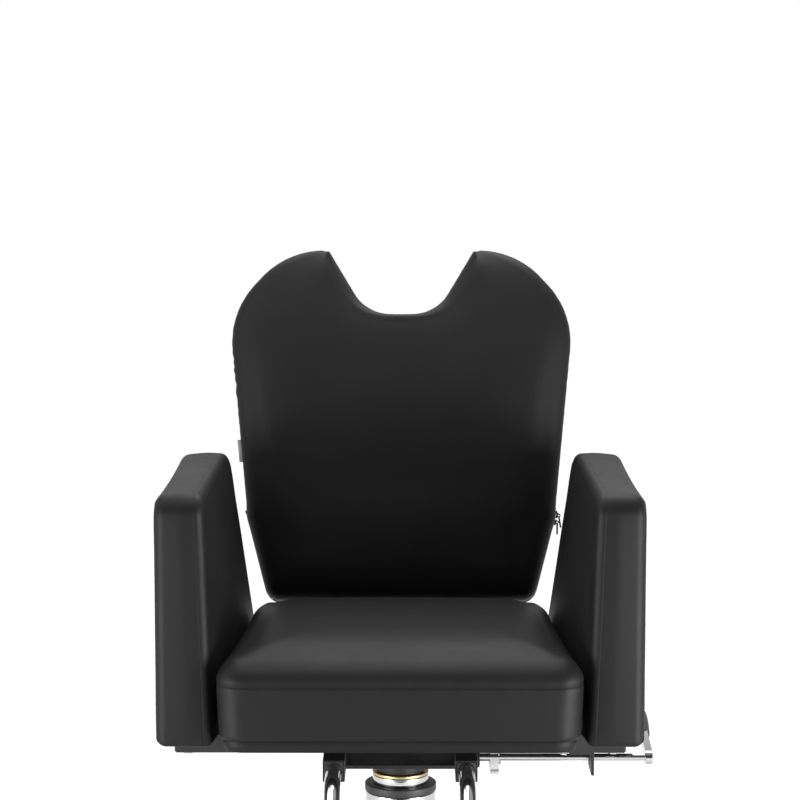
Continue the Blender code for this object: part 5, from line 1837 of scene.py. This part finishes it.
@dataclass
class SideLabel:
    """The blank tape label that stands out of the left side seam.

    Attributes:
        cushion: The cushion that it is sewn into.
        foot, length: The height of its lower end, and its length up the side.
        reach, root: How far it stands out, and how far it reaches into the seam.
        thickness, bend: Its thickness, and how far its free edge curls.
    """

    cushion: BackCushion
    foot: float = 0.288
    length: float = 0.034
    reach: float = 0.005
    root: float = 0.001
    thickness: float = 0.0007
    bend: float = 0.0009

    def build(self) -> None:
        """Makes the label."""
        cushion = self.cushion
        slope = (cushion.half_top - cushion.half_waist) / (cushion.top - cushion.waist)
        out = np.linspace(0, 1, 6)
        sections = []
        for share in np.linspace(0, 1, 15):
            height = self.foot + self.length * share
            side = cushion.half_waist + slope * (height - cushion.waist) - self.root
            x = -side - (self.reach + self.root) * out
            curl = self.bend * out ** 2 * (0.4 + math.sin(3 * share))
            y = cushion.seam_y - self.thickness / 2 + curl
            near = np.stack([x, y, np.full(len(out), height)], axis=1)
            far = near + np.array((0, self.thickness, 0))
            sections.append(np.vstack([near, far[::-1]]))
        piece = lofted(sections).placed(cushion.place()).built("side_label", TAPE)
        dress(piece, Body.BACK, TAPE, "label")


def turned_part(node: str, edge: float, bore: float | None = None) -> Shape:
    """A plain disc, or a tube where there is a bore, in the place of an upright turned solid.

    Args:
        node: The solid.
        edge: The round of its rims.
        bore: The radius of its hole.

    Returns:
        The shape.
    """
    low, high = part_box(node)
    inner, rim = (high.x / 8, 0) if bore is None else (bore, edge)
    corners = [(inner, low.z, rim), (high.x, low.z, edge), (high.x, high.z, edge), (inner, high.z, rim)]
    return spun(corners, looped=bore is not None)


@dataclass
class Pedestal:
    """The base, the pump on it and the ram that lifts the seat.

    Attributes:
        pump_radius, ram_radius, spigot_radius: The radii of the barrel, the ram and the seat's spigot.
        head_height, spigot_height: The heights of the ram's head and of the spigot on it.
        flange_height: The thickness of the pump's flange.
        edge, core: The round of turned rims, and the radius at which the ram's ends are closed.
        cover_lip, cover_wall: The cover's upright rim, and its thickness.
        cover_sweep: How hollow the cover's slope is.
    """

    pump_radius: float = 0.048
    ram_radius: float = 0.025
    spigot_radius: float = 0.016
    head_height: float = 0.012
    spigot_height: float = 0.024
    flange_height: float = 0.010
    edge: float = 0.001
    core: float = 0.004
    cover_lip: float = 0.004
    cover_sweep: float = 1.5
    cover_wall: float = 0.0015

    def cover(self) -> Shape:
        """The spun cover over the base plate.

        Returns:
            The shape.
        """
        low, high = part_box("base_cover")
        rim, collar = high.x, self.pump_radius + CLEARANCE
        rise = high.z - low.z - self.cover_lip
        shares = np.linspace(0, 1, 40)
        radii = rim + (collar - rim) * shares
        heights = low.z + self.cover_lip + rise * shares ** self.cover_sweep
        outside = [(rim, low.z), (rim, low.z + 0.5 * self.cover_lip)]
        outside.append((rim - 0.1 * self.cover_lip, low.z + 0.8 * self.cover_lip))
        outside += list(zip(radii[1:], heights[1:]))
        wall = self.cover_wall
        inside = [(radius - wall, height - wall) for radius, height in zip(radii[:-1], heights)]
        inside.append((collar, heights[-1] - wall))
        return turned(outside + inside[::-1] + [(rim - wall, low.z)], looped=True, segments=144)

    def ram(self) -> Shape:
        """The ram with its head and spigot.

        Returns:
            The shape.
        """
        low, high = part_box("pump_ram")
        head_top = high.z - self.spigot_height
        head_foot = head_top - self.head_height
        edge = self.edge
        corners = [(self.core, low.z, 0), (self.ram_radius, low.z, edge), (self.ram_radius, head_foot, 0)]
        corners += [(high.x, head_foot, edge), (high.x, head_top, edge), (self.spigot_radius, head_top, 0)]
        corners += [(self.spigot_radius, high.z, edge), (self.core, high.z, 0)]
        return spun(corners)

    def barrel(self, bore: float) -> Shape:
        """The pump's barrel with the flange that it stands on.

        Args:
            bore: The radius of its hole.

        Returns:
            The shape.
        """
        low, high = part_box("pump_cylinder")
        flange = low.z + self.flange_height
        corners = [(bore, low.z, 0), (high.x, low.z, self.edge), (high.x, flange, self.edge)]
        corners += [(self.pump_radius, flange, 0), (self.pump_radius, high.z, self.edge), (bore, high.z, 0)]
        return spun(corners, looped=True)

    def build(self) -> None:
        """Makes the pedestal."""
        bore = self.ram_radius + CLEARANCE
        stand_in(turned_part("base_mat", edge=0.0008), Body.BASE, RUBBER, "base_mat")
        stand_in(turned_part("base_plate", edge=0.0018), Body.BASE, STEEL, "base_plate")
        stand_in(self.cover(), Body.BASE, CHROME, "base_cover")
        stand_in(self.barrel(bore), Body.BASE, PAINT, "pump_cylinder")
        sleeve = turned_part("pump_sleeve", edge=0.0005, bore=self.pump_radius + CLEARANCE)
        stand_in(sleeve, Body.BASE, CHROME, "pump_sleeve")
        stand_in(turned_part("pump_gland", edge=0.0022, bore=bore), Body.BASE, PLASTIC, "pump_gland")
        stand_in(self.ram(), Body.LIFT, CHROME, "pump_ram")
        washer = turned_part("swivel_washer", edge=0.0008, bore=self.spigot_radius + CLEARANCE)
        stand_in(washer, Body.LIFT, BRONZE, "swivel_washer")


@dataclass
class PumpPedal:
    """The foot lever that works the pump.

    Attributes:
        row: The tree that sets the pad's ribs.
        pitch: The step of the ribs.
        rib: Half a rib's thickness, its foot, its top and its edges' round.
        margins: How far the ribs keep from the pad's sides and ends.
    """

    row: Row
    pitch: float = 0.0072
    rib: Quad = (0.0014, -0.001, 0.0014, 0.0006)
    margins: Pair = (0.005, 0.009)

    def build(self) -> None:
        """Makes the fork, the lever and the ribbed pad."""
        soften_all(Body.BASE, PAINT, ("pedal_fork",), edge=0.002)
        soften_all(Body.BASE, STEEL, ("pedal_pin",), edge=0.0006)
        soften_all(Body.PEDAL, CHROME, ("pedal_arm",), edge=0.0018)
        soften_all(Body.PEDAL, RUBBER, ("pedal_pad",), edge=0.003)
        low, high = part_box("pedal_pad")
        beside, ahead = self.margins
        half_thickness, *heights_and_edge = self.rib
        rib = block(half_thickness, (high.x - low.x) / 2 - beside, *heights_and_edge)
        points = np.array([(0, low.y + ahead, high.z), (0, high.y - ahead, high.z)])
        ups = np.array([(0, 0, 1)] * 2)
        ribs = self.row.along("pedal_pad_ribs", [(points, ups)], rib, self.pitch, RUBBER)
        dress(ribs, Body.PEDAL, RUBBER)


@dataclass
class SeatFrame:
    """The turning hub, the welded tubes, the board and the bolts of the arms.

    Attributes:
        row: The tree that sets the weld beads.
        spigot_bore: The radius of the hub's hole.
        plug: How deep a plug sits, how far it stands out, its play, and its edges' round.
        pitch, bead: The step of the weld beads, and a bead's radii and heights.
        bead_ends: How far the beads keep from the ends of the plate and of a joint.
        head, shank: The height and round of a bolt's head, and the radius and round of its shank.
    """

    row: Row
    spigot_bore: float = 0.0165
    plug: Quad = (0.006, 0.0022, 0.0006, 0.0016)
    pitch: float = 0.0028
    bead: tuple[Pair, ...] = ((0.0008, -0.0012), (0.0022, -0.0004), (0.0022, 0.0004), (0.0008, 0.0013))
    bead_ends: Pair = (0.01, 0.003)
    head: Pair = (0.005, 0.0006)
    shank: Pair = (0.004, 0.0005)

    def plugs(self) -> Shape:
        """The plastic plugs in the open ends of the tubes.

        Returns:
            The shape.
        """
        depth, out, play, edge = self.plug
        made = []
        for node in ("cross_rail_front", "cross_rail_rear"):
            low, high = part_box(node)
            for first, last in ((low.x - out, low.x + depth), (high.x - depth, high.x + out)):
                made.append(rounded_box((first, low.y + play, low.z + play),
                                        (last, high.y - play, high.z - play), edge))
        for node in ("rail_left", "rail_right"):
            low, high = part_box(node)
            made.append(rounded_box((low.x + play, high.y - depth, low.z + play),
                                    (high.x - play, high.y + out, high.z - play), edge))
        return joined(made)

    def welds(self) -> list[Line]:
        """The lines where the rails are welded to the plate and the cross rails.

        Returns:
            Each line's points and way up.
        """
        lines = []
        plate_end, joint_end = self.bead_ends
        plate_low, plate_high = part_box("mount_plate")
        for rail in ("rail_left", "rail_right"):
            low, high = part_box(rail)
            inward = 1 if low.x < 0 else -1
            x = high.x if inward > 0 else low.x
            up = np.array([(inward, 0, 1)] * 2) / math.sqrt(2)
            ends = np.array([(x, plate_low.y + plate_end, low.z), (x, plate_high.y - plate_end, low.z)])
            lines.append((ends, up))
            for cross in ("cross_rail_front", "cross_rail_rear"):
                cross_low, cross_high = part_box(cross)
                for side, y in ((-1, cross_low.y), (1, cross_high.y)):
                    ends = np.array([(low.x + joint_end, y, high.z), (high.x - joint_end, y, high.z)])
                    lines.append((ends, np.array([(0, side, 1)] * 2) / math.sqrt(2)))
        return lines

    def bolts(self) -> None:
        """Makes the hexagon bolts that hold the arms."""
        core = 0.001
        height, rim = self.head
        for node in [f"arm_bolt_{side.name.lower()}_{end}" for side in Side for end in ("front", "rear")]:
            low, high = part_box(node)
            middle = (low + high) / 2
            radius = high.x - middle.x
            head = [(core, 0, 0), (radius, 0, rim), (radius, height, 0), (core, height, 0)]
            shape = spun(head, segments=6)
            shape += bar_between((0, 0, height), (0, 0, high.z - low.z), *self.shank)
            place = Matrix.Translation((middle.x, middle.y, low.z))
            stand_in(shape.placed(place), Body.SEAT, STEEL, node)

    def build(self) -> None:
        """Makes the seat's frame."""
        hub = turned_part("swivel_hub", edge=0.0015, bore=self.spigot_bore)
        stand_in(hub, Body.SEAT, PAINT, "swivel_hub")
        soften_all(Body.SEAT, PAINT, ("mount_plate",), edge=0.0012)
        tubes = ("rail_left", "rail_right", "cross_rail_front", "cross_rail_rear")
        soften_all(Body.SEAT, PAINT, tubes, edge=0.0009)
        soften_all(Body.SEAT, PLYWOOD, ("seat_board",), edge=0.0008)
        dress(self.plugs().built("tube_plugs", PLASTIC), Body.SEAT, PLASTIC)
        bead = turned(self.bead, segments=8)
        dress(self.row.along("weld_beads", self.welds(), bead, self.pitch, PAINT), Body.SEAT, PAINT)
        self.bolts()


@dataclass
class Footrest:
    """The bent legs, the bar and its ribbed grip.

    Attributes:
        leg_radius, bend: The radii of a leg and of its bend.
        straight: How far a leg runs on out of its rail.
        bar_edge: The round of the bar's ends.
        ribs, rib_half: How many ribs the grip has, and half their height.
        grip_wall, grip_end: The thickness of the grip, and how far from its ends the ribs start.
    """

    leg_radius: float = 0.011
    bend: float = 0.035
    straight: float = 0.070
    bar_edge: float = 0.004
    ribs: int = 26
    rib_half: float = 0.0006
    grip_wall: float = 0.003
    grip_end: float = 0.0008

    def build(self) -> None:
        """Makes the footrest."""
        soften_all(Body.SEAT, PLASTIC, ("footrest_socket_left", "footrest_socket_right"), edge=0.0008)
        low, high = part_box("footrest_bar")
        bar = (low + high) / 2
        for side in Side:
            name = side.name.lower()
            leg_low, leg_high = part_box(f"footrest_leg_{name}")
            rail_low, rail_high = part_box(f"rail_{name}")
            middle = (rail_low + rail_high) / 2
            corners = [(leg_high.y, middle.z, 0), (rail_low.y - self.straight, middle.z, self.bend)]
            corners.append((bar.y, bar.z, 0))
            line = resampled(filleted(corners, closed=False, steps=16), steps=60)
            across = np.full(len(line), (leg_low.x + leg_high.x) / 2)
            leg = swept(np.stack([across, line[:, 0], line[:, 1]], axis=1), self.leg_radius, sides=32)
            stand_in(leg, Body.SEAT, CHROME, f"footrest_leg_{name}")
        ends = (low.x, bar.y, bar.z), (high.x, bar.y, bar.z)
        shape = bar_between(*ends, radius=(high.z - low.z) / 2, edge=self.bar_edge)
        stand_in(shape, Body.SEAT, CHROME, "footrest_bar")

        low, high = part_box("footrest_grip")
        radius = (high.z - low.z) / 2
        inner, hollow = radius - self.grip_wall, radius - 2 * self.rib_half
        along = np.linspace(low.x + self.grip_end, high.x - self.grip_end, 8 * self.ribs + 1)
        turns = np.linspace(0, 2 * math.pi * self.ribs, len(along))
        outside = list(zip(radius - self.rib_half * (1 - np.cos(turns)), along))
        profile = [(inner, low.x), (hollow, low.x)] + outside + [(hollow, high.x), (inner, high.x)]
        grip = turned(profile, looped=True, segments=40).placed(facing((0, bar.y, bar.z), (1, 0, 0)))
        stand_in(grip, Body.SEAT, RUBBER, "footrest_grip")


@dataclass
class ReclineGear:
    """The hinges, the lockable strut and the lever that frees it.

    Attributes:
        lever_axis: Depth and height of the lever's axis.
        lever_x, lever_end: How far from the middle its handle is, and where that ends, from the axis.
        grip_overhang, grip_length: How far the grip runs on past that, and its length.
        grip_profile: Shares of that length and the grip's radii there.
    """

    lever_axis: Pair = (-0.0938, 0.2996)
    lever_x: float = 0.345
    lever_end: Pair = (0.150, 0.022)
    grip_overhang: float = 0.0105
    grip_length: float = 0.085
    grip_profile: tuple[Pair, ...] = (
        (0.0, 0.0085), (0.06, 0.0092), (0.25, 0.0100), (0.5, 0.0110),
        (0.78, 0.0112), (0.9, 0.0106), (0.97, 0.0086), (1.0, 0.0050),
    )

    def build(self) -> None:
        """Makes the recline gear."""
        brackets = ("hinge_bracket_left", "hinge_bracket_right", "strut_lug", "lever_bracket")
        soften_all(Body.SEAT, PAINT, brackets)
        pins = ("recline_pin_left", "recline_pin_right", "strut_pin_front")
        soften_all(Body.SEAT, STEEL, pins, edge=0.0008)
        soften_all(Body.BACK, PAINT, ("back_bar_left", "back_bar_right", "recline_crank"))
        soften_all(Body.BACK, BRONZE, ("recline_bush_left", "recline_bush_right"), edge=0.0004)
        soften_all(Body.BACK, STEEL, ("strut_pin_rear",), edge=0.0008)
        soften_all(Body.ROD, STEEL, ("strut_rod",), edge=0.0008)
        soften_all(Body.CYLINDER, PAINT, ("strut_cylinder",), edge=0.0008)
        soften_all(Body.BUTTON, BRONZE, ("release_pin",), edge=0.0005)
        soften_all(Body.LEVER, CHROME, ("lever_shaft",), edge=0.0012)
        heading = Vector((0, *self.lever_end)).normalized()
        reach = Vector(self.lever_end).length + self.grip_overhang
        end = Vector((self.lever_x, *self.lever_axis)) + heading * reach
        root = end - heading * self.grip_length
        shares, radii = zip(*self.grip_profile)
        fine = np.linspace(0, 1, 40)
        profile = list(zip(np.interp(fine, shares, radii), fine * self.grip_length))
        grip = turned(profile, segments=48).placed(facing(root, heading))
        stand_in(grip, Body.LEVER, PLASTIC, "lever_grip")


@dataclass
class Studio:
    """Floor, soft light and the camera at the photograph's angle.

    Attributes:
        camera_place: Where the camera is.
        camera_pitch, camera_yaw: How far it looks up from straight down, and how far to the left.
        lens: Its focal length in millimetres.
        floor_reach: Half the floor's size.
        floor_glow: How much of its own brightness the floor shows under the chair.
        daylight: How bright the surroundings are.
        backdrop: How bright a gloss shows floor and backdrop; behind the camera the room is dark.
        ceiling: The share of that brightness that the ceiling has.
        lamps: Each lamp's name, place, aim, sizes and power.
    """

    camera_place: Triple = (0.012, -3.5, 1.2054)
    camera_pitch: float = math.radians(83.2)
    camera_yaw: float = math.radians(0.21)
    lens: float = 112.95
    floor_reach: float = 60.0
    floor_glow: float = 0.6
    daylight: float = 0.05
    backdrop: float = 0.78
    ceiling: float = 0.65
    lamps: tuple[tuple[str, Triple, Triple, Pair, float], ...] = (
        ("top_softbox", (0.1, 0.05, 1.9), (0.0, 0.1, 0.6), (1.7, 0.7), 12.5),
        ("rear_softbox", (0.0, 0.8, 2.0), (0.0, 0.1, 0.7), (1.6, 0.8), 13.0),
        ("upper_left_softbox", (-1.1, -0.3, 1.7), (-0.1, 0.2, 0.8), (0.8, 0.8), 4.0),
        ("wide_left_softbox", (-2.2, -1.3, 0.5), (-0.1, 0.1, 0.65), (0.9, 0.9), 16.0),
        ("wide_right_softbox", (2.2, -1.3, 0.5), (0.1, 0.1, 0.65), (0.9, 0.9), 24.0),
        ("low_left_softbox", (-1.3, -1.2, 0.25), (-0.2, 0.1, 0.65), (0.9, 0.5), 16.5),
        ("low_right_softbox", (1.3, -1.2, 0.25), (0.2, 0.1, 0.65), (0.9, 0.5), 25.0),
    )

    def build(self) -> None:
        """Sets the studio up."""
        scene = bpy.context.scene
        scene.view_settings.view_transform = "Standard"
        camera = bpy.data.objects.new("camera", bpy.data.cameras.new("camera"))
        camera.data.lens = self.lens
        camera.data.sensor_width = 36.0
        camera.data.clip_end = 500.0
        camera.location = self.camera_place
        camera.rotation_euler = (self.camera_pitch, 0.0, self.camera_yaw)
        scene.collection.objects.link(camera)
        scene.camera = camera
        for name, place, aim, sizes, power in self.lamps:
            lamp = bpy.data.lights.new(name, "AREA")
            lamp.shape = "RECTANGLE"
            lamp.size, lamp.size_y = sizes
            lamp.energy = power
            thing = bpy.data.objects.new(name, lamp)
            thing.location = place
            thing.visible_camera = False
            thing.rotation_euler = (Vector(aim) - Vector(place)).to_track_quat("-Z", "Y").to_euler()
            scene.collection.objects.link(thing)
        self.surroundings(scene)
        self.floor()

    @staticmethod
    def seen(tree: Tree, mirrored: Value) -> Channel:
        """Tells what is looked at, also in a mirror, from what only gives light.

        Args:
            tree: The tree that it is added to.
            mirrored: How bright it looks in a gloss.

        Returns:
            1 for a ray from the camera, the share for a gloss or a glass, 0 for light.
        """
        camera, gloss, glass = (tree.node("ShaderNodeLightPath", output=name)
                                for name in ("Is Camera Ray", "Is Glossy Ray", "Is Transmission Ray"))
        return camera.maths("MAXIMUM", camera, gloss.maths("MAXIMUM", gloss, glass) * mirrored)

    def surroundings(self, scene: bpy.types.Scene) -> None:
        """Makes the world white to look at and soft as a light.

        Args:
            scene: The scene that gets the world.
        """
        world = bpy.data.worlds.new("studio")
        world.use_nodes = True
        scene.world = world
        tree = Tree(world.node_tree)
        heading = tree.node("ShaderNodeTexCoord", output="Generated")
        depth, height = (tree.node("ShaderNodeSeparateXYZ", None, {0: heading}, name) for name in "YZ")
        above = 1 - (1 - self.ceiling) * height.step(low=0.3, high=0.8)
        mirrored = self.backdrop * depth.step(low=-0.95, high=-0.25) * above
        strength = self.daylight + (1 - self.daylight) * self.seen(tree, mirrored)
        light = world.node_tree.nodes["Background"]
        light.inputs["Color"].default_value = (1.0, 1.0, 1.0, 1.0)
        world.node_tree.links.new(strength.socket, light.inputs["Strength"])

    def floor(self) -> None:
        """Lays the pale floor."""
        reach = self.floor_reach
        corners = np.array([(-reach, -reach, 0), (reach, -reach, 0), (reach, reach, 0), (-reach, reach, 0)])
        constants = {"Base Color": (0.9, 0.9, 0.9, 1.0), "Roughness": 0.9, "Specular IOR Level": 0.1,
                     "Emission Strength": 0.96}
        pale = Paint("pale_floor", constants)
        black, white = (0.0, 0.0, 0.0, 1.0), (1.0, 1.0, 1.0, 1.0)
        spread = pale.node("ShaderNodeVectorMath", {"operation": "LENGTH"}, {0: pale.place()}, "Value")
        glow = self.floor_glow + (1 - self.floor_glow) * spread.step(low=0.4, high=3.0)
        sockets = {0: self.seen(pale, self.backdrop) * glow, 6: black, 7: white}
        pale.feed("Emission Color", pale.node("ShaderNodeMix", {"data_type": "RGBA"}, sockets, 2))
        mesh = bpy.data.meshes.new("floor")
        mesh.from_pydata(corners.tolist(), [], [(0, 1, 2, 3)])
        mesh.materials.append(pale.material)
        linked("floor", mesh)


def main() -> None:
    """Builds the chair's looks round its solids."""
    logging.basicConfig(level=logging.INFO, format="%(message)s")
    for thing in list(bpy.data.objects):
        bpy.data.objects.remove(thing)
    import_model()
    back, row = BackCushion(), Row()
    parts = [back, ArmPad(), SeatCushion(), ZipFastener(back, row), SideLabel(back)]
    parts += [Pedestal(), PumpPedal(row), SeatFrame(row), Footrest(), ReclineGear(), Studio()]
    for part in parts:
        LOG.info("building %s", type(part).__name__)
        part.build()


if __name__ == "__main__":
    main()
